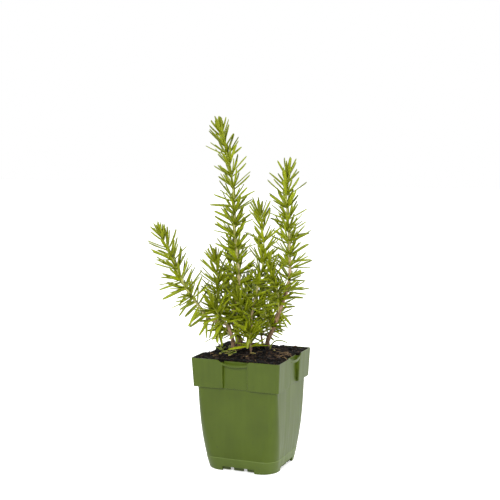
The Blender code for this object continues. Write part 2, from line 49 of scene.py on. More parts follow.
# The pot, in millimetres.
POT_SIDE = 105.0
POT_HEIGHT = 128.0
WALL = 1.2
COLLAR_HEIGHT = 32.5
COLLAR_FOOT_HALF = POT_SIDE / 2 - 1.7
COLLAR_CORNER = 2.6
LEDGE = POT_HEIGHT - COLLAR_HEIGHT
BODY_TOP_HALF = 47.6
BODY_FOOT_HALF = 41.0
BODY_TOP_CORNER = 5.0
BODY_FOOT_CORNER = 19.0
BODY_CURVE = 2.86
CORNER_STEPS = 12
BAND_TOP = 14.5
BAND_STEP = 0.35
FLOOR_UNDERSIDE = 5.6
FLOOR_TOP = FLOOR_UNDERSIDE + 1.4
SKIRT_WALL = 1.8
ARCH_WIDTH = 38.0
ARCH_HEIGHT = 4.9
RING_INSET = 1.5
RING_WALL = 2.0
RING_CLEARANCE = 1.2
CHANNEL_OFFSET = 8.0
CHANNEL_WIDTH = 4.4
BOSS_RADIUS = 5.0
DRAIN_RADIUS = 4.0
DRAIN_OFFSET = 21.0
SLOT_WIDTH = 29.0
PANEL_HALF = BODY_TOP_HALF + 0.4
PANEL_TOP = POT_HEIGHT - 1.6
STRAP_OUT = POT_SIDE / 2 - 0.4
STRAP_THICKNESS = 1.2
STRAP_TOP = POT_HEIGHT - 3.0
STRAP_HEIGHT = 2.4
STRAP_SAG = 1.6
STRAP_BULGE = 1.4
LONG_DIP = (6.5, 3.2)
SHORT_DIP = (3.2, 2.0)

# The potting mix.
SOIL_EDGE = POT_HEIGHT - 2.6
MOUND_HEIGHT = 6.0
MOUND_CENTRE = (-4.0, 14.0)
MOUND_SPREAD = 27.0
CRUMB_HEIGHT = 1.5
CRUMB_SIZE = 7.0
BURIED = 24.0

# The stems and leaves.
STEM_STEP = 7.5
LEAF_LENGTH = 27.0
LEAF_WIDTH = 2.8
LEAF_CLEARANCE = 0.35
LEAF_OVER_SOIL = 1.6
RIM_MARGIN = 5.0

# The finer form that only the looks have. The pattern leaf is LEAF_TRUE_WIDTH across, and it is
# scaled by a leaf's width over LEAF_WIDTH, so the leaves here are wider than the solids'.
SLOT_EDGE_ROUND = 1.1
SLOT_FOOT_ROUND = 2.4
EDGE_ROUND = 0.3
# How dark the painted shade under the floor is at its deepest.
HOLLOW_SHADE = 0.6
STRAP_CUTS = 16
DIP_CUTS = 8
LEAF_TRUE_WIDTH = 3.3
LEAF_SKIN = 0.55
BARK_STEP = 2.5
FURROW_SIZE = 2.4
FURROW_DEPTH = 0.9
PEAT_CUTS = 6
CLODS = ((6.0, 2.2), (2.2, 1.5))
CRUMB_COUNT = 620
CRUMB_SHAPES = 3
FIBRE_COUNT = 46
LYING_POINTS = 8
FALLEN_COUNT = 5

# The mix is heaped along the pot's walls: how far from the pot's axis that starts, over what
# distance it rises, and how high.
HEAP_START = 34
HEAP_REACH = 12
HEAP_RISE = 1.9

# A leaf's outline: share of its length, and share of its full width there.
LEAF_ROWS = ((0.0, 0.5), (0.1, 0.78), (0.3, 1.0), (0.7, 0.96), (0.93, 0.66), (1.0, 0.26))
# A leaf's section: share of its half width, and height in millimetres. Its margins roll down and
# its midrib is a groove.
LEAF_COLUMNS = ((-1.0, -0.66), (-0.5, 0.0), (0.0, -0.22), (0.5, 0.0), (1.0, -0.66))

# Litter that the photograph shows. The blade is a route in millimetres. The others are each a
# place on the mix, the way it points in degrees, and its length.
ARCHED_BLADE = [(13, 22, 128), (15, 22, 134), (21, 22, 139), (29, 23, 139), (37, 25, 135)]
SPRIGS = (((-40, 6), 200, 9), ((-42, 12), 165, 8), ((-36, 1), 150, 8), ((-34, 14), 120, 7),
          ((-38, 18), 60, 7), ((-33, -2), 250, 8), ((-36, -12), 20, 11), ((-30, -6), 170, 12),
          ((-26, -14), -15, 12), ((-38, -4), 75, 10), ((-22, -18), 30, 10))
DRY_BITS = (((-35, -14), 10, 12), ((-31, -4), 40, 14), ((-28, -12), -20, 10), ((-20, -22), 70, 9),
            ((-25, 4), 95, 11))
ROOTLETS = (((30, 6), 20, 17), ((36, -4), -30, 15), ((40, 3), 70, 12), ((24, 14), -10, 16),
            ((33, -9), 35, 14), ((41, -12), -60, 10), ((27, -2), 5, 12))

SELECT_MODES = {"verts": "VERT", "edges": "EDGE", "faces": "FACE"}

# How a node mixes two colours.
BLEND = {"data_type": "RGBA"}
MULTIPLY = {"data_type": "RGBA", "blend_type": "MULTIPLY"}

# Colours, as sRGB.
POT_DARK = "#3D4C01"
POT_LIGHT = "#435303"
POT_STREAK = "#495A12"
POT_SPECK = "#2E3616"
# The foot band's paler colour: painted light, standing in for light thrown up from the floor.
POT_FOOT = "#5B6C30"
# A painted highlight along the foot band's step.
POT_STEP_HIGHLIGHT = "#76894A"
# Painted shade: a dark line under the collar's ledge, and the space under the floor beside the feet.
POT_PAINTED_SHADE = "#262E12"
PEAT_COLOURS = ((0.3, "#060504"), (0.55, "#0D0A08"), (0.75, "#19130E"))
PEAT_FLECK = "#443226"
BARK_COLOURS = ((0.0, "#7A6048"), (0.05, "#9B7D5E"), (0.14, "#B4937A"), (0.24, "#B7A078"),
                (0.4, "#B3AC72"), (0.75, "#A8AC58"), (1.0, "#93A02A"))
CRUMB_COLOURS = ((0.0, "#070504"), (0.5, "#120D0B"), (0.85, "#261D17"), (1.0, "#473526"))
FIBRE_COLOURS = ((0.0, "#241913"), (0.5, "#503A2A"), (1.0, "#8E7650"))
FALLEN_COLOURS = ((0.0, "#77872B"), (0.35, "#8D8F3A"), (0.65, "#A5905A"), (1.0, "#6D4F35"))

# The two sides of a leaf: the colours of old, middling and young leaves, the tint of the darkest and
# its share, the colour of rib and margins and its share, and the roughness. The colours along the
# age are partly painted light: they lift the low, shaded leaves and hold back the tips, which the
# lamps light more.
UPPER_SIDE = (("#99A914", "#93A014", "#889212"), "#2C3402", 0.6, "#A8B428", 0.35, 0.38)
UNDERSIDE = (("#84902F", "#909C37", "#94A03B"), "#5C6624", 0.3, "#7C8830", 0.4, 0.75)

# How slowly a stem's bark turns from brown wood to green, where that isn't evenly along it.
WOODY = {"right_stem": 1.8}

# The studio: the strength of the white surroundings on the viewer's side and behind the pot, the
# floor's strength as the camera sees it and as it lights the pot, and the lamps.
WORLD_FRONT = 0.24
WORLD_BACK = 1.8
FLOOR_SEEN = 0.5
FLOOR_SHINE = 0.06
LAMP_AIM = Vector((0, 0, 0.18))
# Each lamp's place and size in metres, and its power in watts.
LAMPS = {"key": ((0.1, -1.5, 1.05), 0.3, 22.5), "top": ((0.3, 0.4, 1.6), 0.8, 6.0),
         "side": ((1.5, -0.4, 0.5), 0.9, 7.0)}

# The camera that was fitted to the photograph: its focal length and width in pixels, its place in
# metres, and how far it looks down and turns left, in radians.
FOCAL_LENGTH = 1064
PHOTO_WIDTH = 500
SENSOR_WIDTH = 36
CAMERA_PLACE = (0.4483, -1.1032, 0.3764)
CAMERA_DOWN = 0.1098
CAMERA_TURN = 0.3881

# How deep the outer half of a leaf may reach into a neighbour on its own stem.
LEAF_TOUCH = 0.4
# How the solids' large leaves bend, which is downwards.
LARGE_DROOP = -0.12

# The small leaves of the whorls: how many at the start, the middle and the tip of the leafy
# stretch, how near they come to other stems, and how deep into a neighbour on their own.
SMALL_COUNTS = (7, 9, 1)
OWN_SMALL_COUNTS = {"tall_stem": (9, 12, 0), "right_stem": (9, 11, 1)}
SMALL_CLEARANCE = 0.0
SMALL_TOUCH = 1.3

# How many straight runs a thicket can hold.
MOST_RUNS = 9000

STEMS = {
    "tall_stem": {
        "route": [(-24, 17, 131), (-24, 16, 140), (-26, 11, 164), (-25, 8, 179), (-20, 7, 196),
                  (-18, 4, 214), (-19, 1, 239), (-20, -3, 265), (-19, -6, 292), (-21, -9, 326),
                  (-26, -13, 355), (-31, -16, 378)],
        "radius": (2.6, 0.8), "bare": 32, "gap": (14, 8.5), "tuft": (3, 2), "turn": 20, "seed": 11,
    },
    "left_stem": {
        "route": [(-26, 5, 130), (-26, 4, 140), (-29, -4, 158), (-37, -13, 163), (-45, -20, 167),
                  (-52, -27, 180), (-59, -32, 192), (-65, -36, 202), (-70, -41, 216),
                  (-76, -45, 233), (-82, -49, 248), (-88, -52, 263)],
        "radius": (2.5, 0.8), "bare": 86, "gap": (12.5, 7), "tuft": (3, 1), "turn": 60, "seed": 5,
        "large": [(44, (0.25, -0.1, -1.0), 27, 3.4), (41, (-0.1, -0.2, -1.0), 15, 2.6),
                  (59, (0.0, -0.1, -1.0), 24, 2.8), (66, (-0.72, -0.3, -0.62), 18, 3.0),
                  (74, (-0.48, -0.2, -0.86), 25, 3.0), (77, (-0.65, -0.27, -0.7), 20, 3.0),
                  (88, (-0.5, -0.2, -0.85), 26, 2.4), (100, (-0.83, -0.34, -0.42), 29, 3.0)],
    },
    "inner_left_branch": {
        "grows_from": "left_stem",
        "route": [(-37, -13, 163), (-38, -12, 170), (-39, -10, 184), (-40, -7, 208), (-41, -6, 224),
                  (-43, -7, 234)],
        "radius": (1.6, 0.8), "bare": 10, "gap": (11, 7), "tuft": (2, 1), "turn": 30, "seed": 3,
    },
    "low_left_branch": {
        "grows_from": "left_stem",
        "route": [(-29, -4, 158), (-30, -11, 164), (-33, -20, 173), (-37, -28, 184)],
        "radius": (1.3, 0.7), "bare": 9, "gap": (9, 6), "tuft": (1, 1), "turn": 50, "seed": 15,
    },
    "back_stem": {
        "route": [(-27, 33, 129), (-27, 32, 136), (-34, 27, 150), (-40, 24, 168), (-41, 21, 189),
                  (-40, 22, 210), (-38, 24, 228), (-36, 24, 242)],
        "radius": (1.7, 0.8), "bare": 18, "gap": (12, 7), "tuft": (2, 1), "turn": 10, "seed": 8,
    },
    "centre_stem": {
        "route": [(-6, 12, 133), (-6, 12, 140), (-4, 8, 166), (0, 7, 187), (6, 7, 209), (10, 8, 230),
                  (11, 8, 248), (10, 6, 268), (8, 4, 287)],
        "radius": (1.7, 0.8), "bare": 20, "gap": (13, 8), "tuft": (3, 1), "turn": 0, "seed": 21,
    },
    "front_branch": {
        "grows_from": "centre_stem",
        "route": [(-5, 11, 152), (-6, 5, 160), (-9, -3, 174), (-13, -11, 190)],
        "radius": (1.3, 0.7), "bare": 9, "gap": (9, 6), "tuft": (2, 1), "turn": 20, "seed": 16,
    },
    "right_stem": {
        "route": [(8, 27, 132), (9, 27, 139), (17, 28, 157), (21, 29, 170), (26, 30, 184),
                  (31, 31, 198), (34, 30, 214), (35, 28, 232), (35, 26, 254), (34, 24, 277),
                  (33, 21, 301), (34, 19, 316), (35, 19, 330)],
        "radius": (2.9, 0.8), "bare": 68, "gap": (14, 8.5), "tuft": (3, 2), "turn": 15, "seed": 7,
        "large": [(42, (0.8, 0.0, -0.66), 20, 2.8), (37, (0.3, 0.05, -1.0), 16, 2.2),
                  (46, (0.93, 0.38, 0.25), 18, 2.4), (60, (0.95, 0.3, 0.1), 22, 2.4)],
    },
    "inner_right_branch": {
        "grows_from": "right_stem",
        "route": [(21, 29, 170), (22, 25, 180), (24, 20, 191), (23, 14, 202), (20, 8, 213),
                  (20, 5, 221), (20, 4, 228)],
        "radius": (1.5, 0.8), "bare": 8, "gap": (9.5, 6), "tuft": (2, 1), "turn": 45, "seed": 4,
    },
    "low_right_branch": {
        "grows_from": "right_stem",
        "route": [(13, 28, 148), (12, 24, 156), (9, 18, 170), (7, 12, 184)],
        "radius": (1.3, 0.7), "bare": 9, "gap": (9, 6), "tuft": (2, 1), "turn": 0, "seed": 17,
    },
    "low_centre_shoot": {
        "route": [(0, -5, 131), (0, -6, 138), (-1, -7, 147), (0, -8, 156)],
        "radius": (1.2, 0.7), "bare": 6, "gap": (8, 5), "tuft": (1, 1), "turn": 30, "seed": 2,
    },
    "low_back_shoot": {
        "route": [(-2, 37, 130), (-3, 37, 137), (-6, 38, 150), (-8, 38, 163), (-8, 40, 178),
                  (-6, 42, 190)],
        "radius": (1.4, 0.8), "bare": 12, "gap": (11, 7), "tuft": (2, 1), "turn": 0, "seed": 9,
    },
}

# Leaves set one by one from the photograph: distance along the stem, way, droop, length and width.
HAND_LEAVES = {
    "low_centre_shoot": [
        (24, (-0.05, -0.35, -1.0), -0.1, 20, 3.6), (23, (-0.8, -0.3, 0.85), -0.9, 23, 2.6),
        (21, (0.85, -0.25, 0.4), -0.5, 20, 2.4),
    ],
    "inner_right_branch": [
        (12, (-0.93, -0.45, -0.05), -0.15, 27, 2.8), (8, (-0.9, -0.5, -0.1), -0.2, 23, 2.6),
        (16, (-0.6, -0.6, 0.5), -0.2, 22, 2.5),
    ],
    "right_stem": [
        (74, (0.93, 0.25, -0.3), 0.1, 18, 2.5), (86, (0.8, 0.3, 0.35), 0.0, 15, 3.0),
        (104, (0.95, 0.3, 0.02), 0.0, 24, 2.2), (110, (0.7, 0.3, 0.55), -0.2, 26, 2.8),
        (30, (0.85, 0.35, -0.35), 0.1, 13, 2.0), (24, (0.9, 0.37, -0.4), 0.1, 14, 1.8),
        (52, (0.9, 0.3, -0.05), 0.0, 12, 2.0), (40, (0.5, 0.2, -0.9), -0.1, 20, 2.0),
        (132, (0.95, 0.35, 0.12), 0.1, 23, 3.0), (146, (-0.8, -0.33, 0.3), 0.0, 22, 2.2),
        (166, (-0.75, -0.3, 0.58), 0.0, 24, 2.4), (188, (-0.72, -0.28, 0.7), -0.1, 27, 2.0),
    ],
    "low_back_shoot": [
        (12, (0.9, -0.4, 0.2), -0.8, 22, 2.6),
    ],
    "left_stem": [
        (30, (-0.3, -0.5, -0.8), -0.2, 18, 2.4), (46, (0.28, -0.4, -1.0), -0.05, 25, 4.2),
        (48, (-0.3, -0.15, -0.95), -0.1, 20, 2.6), (54, (-0.5, -0.2, -0.87), -0.1, 22, 2.8),
        (60, (-0.8, -0.3, -0.55), -0.1, 22, 2.8), (108, (-0.9, -0.36, -0.28), -0.1, 28, 2.2),
        (90, (-0.9, -0.36, -0.15), -0.1, 16, 2.0), (80, (-0.8, -0.3, -0.3), -0.1, 13, 2.2),
        (62, (-0.7, -0.3, -0.65), -0.1, 22, 1.8), (78, (0.05, 0.1, 1.0), 0.1, 19, 1.8),
        (76, (0.5, 0.2, 0.85), 0.2, 20, 1.9), (50, (-0.9, -0.3, 0.0), -0.2, 15, 2.2),
        (82, (-0.8, -0.33, -0.5), -0.1, 20, 2.4), (70, (-0.55, -0.2, -0.8), -0.1, 24, 2.2),
        (94, (-0.6, -0.3, -0.75), -0.1, 18, 2.4), (56, (-0.45, -0.2, -0.87), -0.1, 20, 2.2),
    ],
    "tall_stem": [
        (18, (0.4, -0.8, -0.3), -0.5, 20, 2.4), (221, (0.75, 0.1, 0.5), 0.25, 19, 2.0),
        (166, (-0.9, -0.36, 0.12), -0.15, 28, 2.4), (150, (-0.8, -0.34, 0.4), -0.1, 26, 2.6),
        (136, (-0.8, -0.36, 0.42), -0.1, 26, 2.6),
    ],
    "centre_stem": [
        (14, (0.3, -0.9, -0.1), -0.6, 20, 2.5), (146, (-0.45, -0.2, 0.85), 0.0, 25, 2.2),
        (150, (0.45, 0.2, 0.85), 0.0, 23, 2.0),
    ],
}

# Low shoots on the stems' bare feet, in the same terms as the stems.
SHOOT_RULE = {"radius": (1.2, 0.7), "bare": 7, "tuft": (2, 1)}
SHOOTS = {
    "trunk_shoot": {
        "grows_from": "tall_stem",
        "route": [(-25, 14, 146), (-27, 6, 151), (-29, -3, 157), (-30, -11, 166)],
        "gap": (8, 5), "turn": 20, "seed": 61, **SHOOT_RULE,
    },
    "left_foot_shoot": {
        "grows_from": "left_stem",
        "route": [(-27, 1, 147), (-32, 0, 150), (-39, 3, 156), (-44, 6, 165)],
        "gap": (8, 5), "turn": 50, "seed": 62, **SHOOT_RULE,
    },
    "back_foot_shoot": {
        "grows_from": "back_stem",
        "route": [(-28, 31, 140), (-21, 32, 146), (-15, 32, 156), (-12, 31, 168)],
        "gap": (8, 5), "turn": 10, "seed": 65, **SHOOT_RULE,
    },
    "back_left_shoot": {
        "grows_from": "back_stem",
        "route": [(-34, 27, 150), (-27, 33, 160), (-22, 36, 176), (-19, 37, 198)],
        "gap": (8, 6), "turn": 30, "seed": 66, **SHOOT_RULE,
    },
    "back_right_shoot": {
        "grows_from": "low_back_shoot",
        "route": [(-4, 37, 142), (4, 38, 150), (11, 39, 166), (15, 39, 190)],
        "gap": (8, 6), "turn": 70, "seed": 67, **SHOOT_RULE,
    },
}

# Along the leafy stretch, from its start to the tip: the angle between leaf and stem in degrees,
# and the leaf's share of its full length.
LEAN_AT = ((0, 0.25, 0.6, 0.88, 1), (88, 74, 62, 50, 28))
SIZE_AT = ((0, 0.3, 0.8, 1), (1.0, 1.0, 0.96, 0.84))
TIP_LEAVES = 9
GROWTHS = {**STEMS, **SHOOTS}
STEM_NUMBERS = {name: k for k, name in enumerate(GROWTHS)}

# bend is how the leaf curls along its length, face is the way its flat upper side looks, and loose
# is how freely it rolls and twists.
Leaf = collections.namedtuple("Leaf", "root way bend face length width loose", defaults=(1.0,))
Stem = collections.namedtuple("Stem", "points along leaves")


# Growth: where each stem and leaf stands.
def unit(v):
    return v / np.linalg.norm(v)


def soil_level(x, y):
    """Height of the potting mix."""
    away = math.hypot(x - MOUND_CENTRE[0], y - MOUND_CENTRE[1]) / MOUND_SPREAD
    crumb = noise.noise(Vector((x / CRUMB_SIZE, y / CRUMB_SIZE, 3.1)))
    return SOIL_EDGE + MOUND_HEIGHT * math.exp(-away * away) + CRUMB_HEIGHT * crumb


def smooth_route(route, step):
    """Points about step apart on a smooth curve through the route, and their distances along it."""
    p = np.array(route, float)
    p = np.vstack([2 * p[0] - p[1], p, 2 * p[-1] - p[-2]])
    fine = []
    for a, b, c, d in zip(p, p[1:], p[2:], p[3:]):
        for t in np.linspace(0, 1, 12, endpoint=False):
            square, cube = t * t, t * t * t
            fine.append(0.5 * (2 * b + (c - a) * t + (2 * a - 5 * b + 4 * c - d) * square
                               + (3 * b - a - 3 * c + d) * cube))
    fine = np.array(fine + [p[-2]])
    along = np.concatenate([[0], np.cumsum(np.linalg.norm(np.diff(fine, axis=0), axis=1))])
    wanted = np.linspace(0, along[-1], max(2, round(along[-1] / step)) + 1)
    return np.stack([np.interp(wanted, along, fine[:, k]) for k in range(3)], axis=1), wanted


def point_on(stem, s):
    return np.array([np.interp(s, stem.along, stem.points[:, k]) for k in range(3)])


def way_on(stem, s):
    return unit(point_on(stem, s + 2) - point_on(stem, s - 2))


def leaf_at(leaf, share):
    """Point on the leaf's centre line, at a share of its length."""
    return leaf.root + leaf.length * (leaf.way * share + leaf.bend * share * share / 2)


def make_leaf(root, tangent, bearing, lean, curl, length, width):
    across = unit(np.array((1.0, 0, 0)) - tangent[0] * tangent)
    outward = np.cross(tangent, across)
    spread = math.cos(bearing) * across + math.sin(bearing) * outward
    way = math.cos(lean) * tangent + math.sin(lean) * spread
    face = math.sin(lean) * tangent - math.cos(lean) * spread
    return Leaf(root, way, curl * face, face, length, width)


def hanging_leaf(root, way, droop, length, width):
    way = unit(np.array(way))
    face = unit(np.array((0.0, -1.0, 0)) + way[1] * way)
    return Leaf(root, way, np.array((0.0, 0, droop)), face, length, width, 0.3)


class Thicket:
    """The stems and leaves placed so far, each as straight runs with a radius."""

    def __init__(self):
        self.count = 0
        self.ends, self.radii = np.zeros((MOST_RUNS, 6)), np.zeros(MOST_RUNS)
        self.owners, self.leafy = np.zeros(MOST_RUNS, int), np.zeros(MOST_RUNS, bool)

    def add(self, points, radii, owner, leafy):
        for a, b, r in zip(points, points[1:], radii):
            self.ends[self.count] = [*a, *b]
            self.radii[self.count] = r
            self.owners[self.count] = STEM_NUMBERS[owner]
            self.leafy[self.count] = leafy
            self.count += 1

    def add_leaf(self, leaf, owner):
        self.add([leaf_at(leaf, share) for share in (0, 0.5, 1)], [leaf.width / 2] * 2, owner, True)

    def room(self, leaf, owner, clearance, touch):
        """Whether the leaf clears other stems' runs, and its outer half its own stem's too."""
        ends, radii = self.ends[:self.count], self.radii[:self.count]
        own, leafy = self.owners[:self.count] == STEM_NUMBERS[owner], self.leafy[:self.count]
        points = [leaf_at(leaf, share) for share in (0, 0.5, 1)]
        for half, (a, b) in enumerate(zip(points, points[1:])):
            gaps = run_distances(a, b, ends[:, :3], ends[:, 3:]) - radii - leaf.width / 2
            if (gaps[~own] < clearance).any():
                return False
            if half and ((gaps[own & leafy] < -touch).any() or (gaps[own & ~leafy] < 0).any()):
                return False
        return True


def run_distances(a, b, starts, ends):
    """Least distance between the straight run a-b and each of several."""
    d1, d2, r = b - a, ends - starts, a - starts
    aa, ee = d1 @ d1, np.einsum("ij,ij->i", d2, d2)
    ff, cc, bb = np.einsum("ij,ij->i", d2, r), r @ d1, d2 @ d1
    below = aa * ee - bb * bb
    s = np.where(below > 1e-9, np.clip((bb * ff - cc * ee) / np.maximum(below, 1e-9), 0, 1), 0)
    t = np.clip((bb * s + ff) / ee, 0, 1)
    s = np.clip((t * bb - cc) / aa, 0, 1)
    return np.linalg.norm((a + s[:, None] * d1) - (starts + t[:, None] * d2), axis=1)


def above_the_pot(leaf):
    """Whether the leaf clears the potting mix and the pot's rim."""
    for share in (0.35, 0.6, 0.8, 1):
        x, y, z = leaf_at(leaf, share)
        if z < soil_level(x, y) + LEAF_OVER_SOIL:
            return False
        if max(abs(x), abs(y)) > POT_SIDE / 2 - RIM_MARGIN and z < POT_HEIGHT + 2:
            return False
    return True


def whorls(rule, top):
    """Each whorl's distance along the stem and share of the leafy stretch, and its leaves' lean in
    degrees and length."""
    s = start = rule["bare"]
    while s < top - 3:
        share = (s - start) / (top - start)
        yield s, share, np.interp(share, *LEAN_AT), np.interp(share, *SIZE_AT) * LEAF_LENGTH
        s += np.interp(share, (0, 0.7, 1), (rule["gap"][0], rule["gap"][0], rule["gap"][1]))


def main_leaves(name, top):
    """The leaves as they would grow in free air: distance, bearing, lean, curl, length, width."""
    rule = GROWTHS[name]
    draw, turn = random.Random(rule["seed"]), math.radians(rule["turn"])
    for s, share, lean, size in whorls(rule, top):
        tuft = round(np.interp(share, (0, 1), rule["tuft"]))
        for side in (0, math.pi):
            bearing = turn + side + math.radians(draw.uniform(-14, 14))
            yield (s, bearing, math.radians(lean + draw.uniform(-9, 9)), draw.uniform(-0.16, 0.26),
                   size * draw.uniform(0.84, 1.1), LEAF_WIDTH)
            for k in range(tuft):
                swing = (-1) ** k * draw.uniform(28, 58)
                yield (s + draw.uniform(1, 3) + k, bearing + math.radians(swing),
                       math.radians(lean * draw.uniform(0.55, 0.9)), draw.uniform(-0.1, 0.3),
                       size * draw.uniform(0.6, 0.95), 0.85 * LEAF_WIDTH)
        turn += math.pi / 2 + math.radians(draw.uniform(-12, 12))
    for k in range(TIP_LEAVES):
        yield (top - 3.5 + 0.3 * k, turn + k * math.radians(137.5), math.radians(33 - 3.1 * k),
               draw.uniform(-0.1, 0.2), LEAF_LENGTH * draw.uniform(0.5, 0.85), 0.9 * LEAF_WIDTH)


def small_leaves(name, top):
    """The rest of each whorl, as wanted in free air: the smaller leaves of the axils."""
    rule, counts = GROWTHS[name], OWN_SMALL_COUNTS.get(name, SMALL_COUNTS)
    draw = random.Random(rule["seed"] + 100)
    for s, share, lean, size in whorls(rule, top):
        turn = draw.uniform(0, 360)
        count = round(np.interp(share, (0, 0.5, 1), counts))
        for k in range(count):
            bearing = turn + k * 360 / count + draw.uniform(-22, 22)
            yield (s + draw.uniform(-2, 4), math.radians(bearing),
                   math.radians(lean * draw.uniform(0.55, 1.05)), draw.uniform(-0.2, 0.3),
                   size * draw.uniform(0.68, 1.04), draw.uniform(0.8, 1.0) * LEAF_WIDTH)


def bent_clear(bearing, lean, length):
    """The leaf as wanted, then swung, tilted or shortened, a little more each time."""
    yield bearing, lean, length
    for swing, tilt, share in ((14, 0, 1), (-14, 0, 1), (0, 12, 1), (0, -14, 1), (28, 0, 0.92),
                               (-28, 0, 0.92), (16, -16, 0.85), (-16, -16, 0.85), (0, 0, 0.62)):
        yield bearing + math.radians(swing), lean + math.radians(tilt), length * share


def bare_stem(name, thicket):
    rule = GROWTHS[name]
    points, along = smooth_route(rule["route"], STEM_STEP)
    thicket.add(points, np.interp(along, (0, along[-1]), rule["radius"]), name, False)
    return Stem(points, along, [])


def hang(name, stem, leaves, thicket):
    """Gives the stem these leaves, whatever stands in their way."""
    for s, way, droop, length, width in leaves:
        leaf = hanging_leaf(point_on(stem, s), way, droop, length, width)
        thicket.add_leaf(leaf, name)
        stem.leaves.append(leaf)


def fill(name, stem, wanted, thicket, clearance, touch):
    """Gives the stem the wanted leaves that find room, each bent clear where it must be."""
    for s, bearing, lean, curl, length, width in wanted(name, stem.along[-1]):
        root, way = point_on(stem, s), way_on(stem, s)
        for b, le, size in bent_clear(bearing, lean, length):
            leaf = make_leaf(root, way, b, le, curl, size, width)
            if above_the_pot(leaf) and thicket.room(leaf, name, clearance, touch):
                thicket.add_leaf(leaf, name)
                stem.leaves.append(leaf)
                break


def grow():
    """{stem, branch or shoot: Stem}: the solids' own leaves, those listed one by one and the
    shoots', then the small ones between them."""
    thicket = Thicket()
    grown = {name: bare_stem(name, thicket) for name in STEMS}
    for name, rule in STEMS.items():
        large = [(s, way, LARGE_DROOP, *size) for s, way, *size in rule.get("large", ())]
        hang(name, grown[name], large, thicket)
    for name in STEMS:
        fill(name, grown[name], main_leaves, thicket, LEAF_CLEARANCE, LEAF_TOUCH)
    for name, leaves in HAND_LEAVES.items():
        hang(name, grown[name], leaves, thicket)
    for name in SHOOTS:
        grown[name] = bare_stem(name, thicket)
        fill(name, grown[name], main_leaves, thicket, SMALL_CLEARANCE, SMALL_TOUCH)
    for name, stem in grown.items():
        fill(name, stem, small_leaves, thicket, SMALL_CLEARANCE, SMALL_TOUCH)
    return grown


# Modelling helpers.
def only(*pieces):
    """Selects only these objects, the first of them active."""
    bpy.ops.object.select_all(action="DESELECT")
    for piece in pieces:
        piece.select_set(True)
    bpy.context.view_layer.objects.active = pieces[0]


@contextlib.contextmanager
def editing(obj):
    only(obj)
    bpy.ops.object.mode_set(mode="EDIT")
    yield
    bpy.ops.object.mode_set(mode="OBJECT")


def pick_all():
    bpy.ops.mesh.select_all(action="SELECT")


def pick(kind, test):
    """Selects only the vertices, edges or faces that pass the test, in the mesh being edited."""
    bpy.ops.mesh.select_mode(type=SELECT_MODES[kind])
    bpy.ops.mesh.select_all(action="DESELECT")
    mesh = bpy.context.edit_object.data
    found = [item for item in getattr(bmesh.from_edit_mesh(mesh), kind) if test(item)]
    for item in found:
        item.select_set(True)
    bmesh.update_edit_mesh(mesh)


def place(name):
    """Names the object just added and puts its place in its mesh."""
    obj = bpy.context.object
    obj.name = obj.data.name = name
    bpy.ops.object.transform_apply(location=True, rotation=True, scale=True)
    return obj


def modify(obj, kind, **settings):
    """Adds a modifier and applies it."""
    only(obj)
    made = obj.modifiers.new(kind.lower(), kind)
    for key, value in settings.items():
        setattr(made, key, value)
    bpy.ops.object.modifier_apply(modifier=made.name)


def smooth(obj):
    only(obj)
    bpy.ops.object.shade_smooth()


def join(name, pieces):
    only(*pieces)
    if len(pieces) > 1:
        bpy.ops.object.join()
    pieces[0].name = pieces[0].data.name = name
    return pieces[0]


def combine(obj, operation, *tools):
    """Cuts the tools from obj, or joins them to it, and deletes them."""
    for tool in tools:
        modify(obj, "BOOLEAN", operation=operation, object=tool, solver="EXACT")
        bpy.data.objects.remove(tool, do_unlink=True)


def turned(obj, side):
    """Turns the piece about the pot's axis, to one of its four sides."""
    only(obj)
    obj.rotation_euler.z = side * math.pi / 2
    bpy.ops.object.transform_apply(rotation=True)
    return obj


def block(low, high):
    """A box between two corners in millimetres."""
    low, high = Vector(low) * MM, Vector(high) * MM
    bpy.ops.mesh.primitive_cube_add(size=1, location=(low + high) / 2, scale=high - low)
    return place("block")


def bent_block(low, high, cuts, shift, test=lambda spot: True):
    """A box cut across along X. Where the test holds, shift(x) moves each cut, in millimetres."""
    obj = block(low, high)
    stations = np.linspace(low[0], high[0], cuts + 1)
    with editing(obj):
        for x in stations[1:-1]:
            pick_all()
            bpy.ops.mesh.bisect(plane_co=(x * MM, 0, 0), plane_no=(1, 0, 0))
        for x in stations:
            pick("verts", lambda v: abs(v.co.x - x * MM) < 1e-6 and test(v.co / MM))
            bpy.ops.transform.translate(value=Vector(shift(x)) * MM)
    return obj


def eased(share):
    """0 to 1 with a soft start and end."""
    return share * share * (3 - 2 * share)


def add_section(half, corner, z):
    """Adds the outline of a rounded square to the mesh being edited."""
    bpy.ops.mesh.primitive_plane_add(size=2 * half * MM, location=(0, 0, z * MM))
    bpy.ops.mesh.bevel(offset=corner * MM, affect="VERTICES", segments=CORNER_STEPS,
                       clamp_overlap=False)
    bpy.ops.mesh.delete(type="ONLY_FACE")


def level_with(item, height):
    """Whether all of an edge's or a face's points lie at this height in millimetres."""
    return all(abs(vert.co.z / MM - height) < 0.01 for vert in item.verts)


def loft(name, sections):
    """A closed shell through rounded squares, each a half width, corner radius and height."""
    bpy.ops.mesh.primitive_plane_add(size=MM)
    obj = place(name)
    with editing(obj):
        bpy.ops.mesh.delete(type="VERT")
        for pair in zip(sections, sections[1:]):
            for section in pair:
                add_section(*section)
            pick_all()
            bpy.ops.mesh.bridge_edge_loops()
            pick_all()
            bpy.ops.mesh.hide()
        bpy.ops.mesh.reveal()
        pick_all()
        bpy.ops.mesh.remove_doubles(threshold=1e-6)
        for end in (sections[0], sections[-1]):
            pick("edges", lambda edge: edge.is_boundary and level_with(edge, end[2]))
            bpy.ops.mesh.edge_face_add()
        pick_all()
        bpy.ops.mesh.normals_make_consistent(inside=False)
    return obj


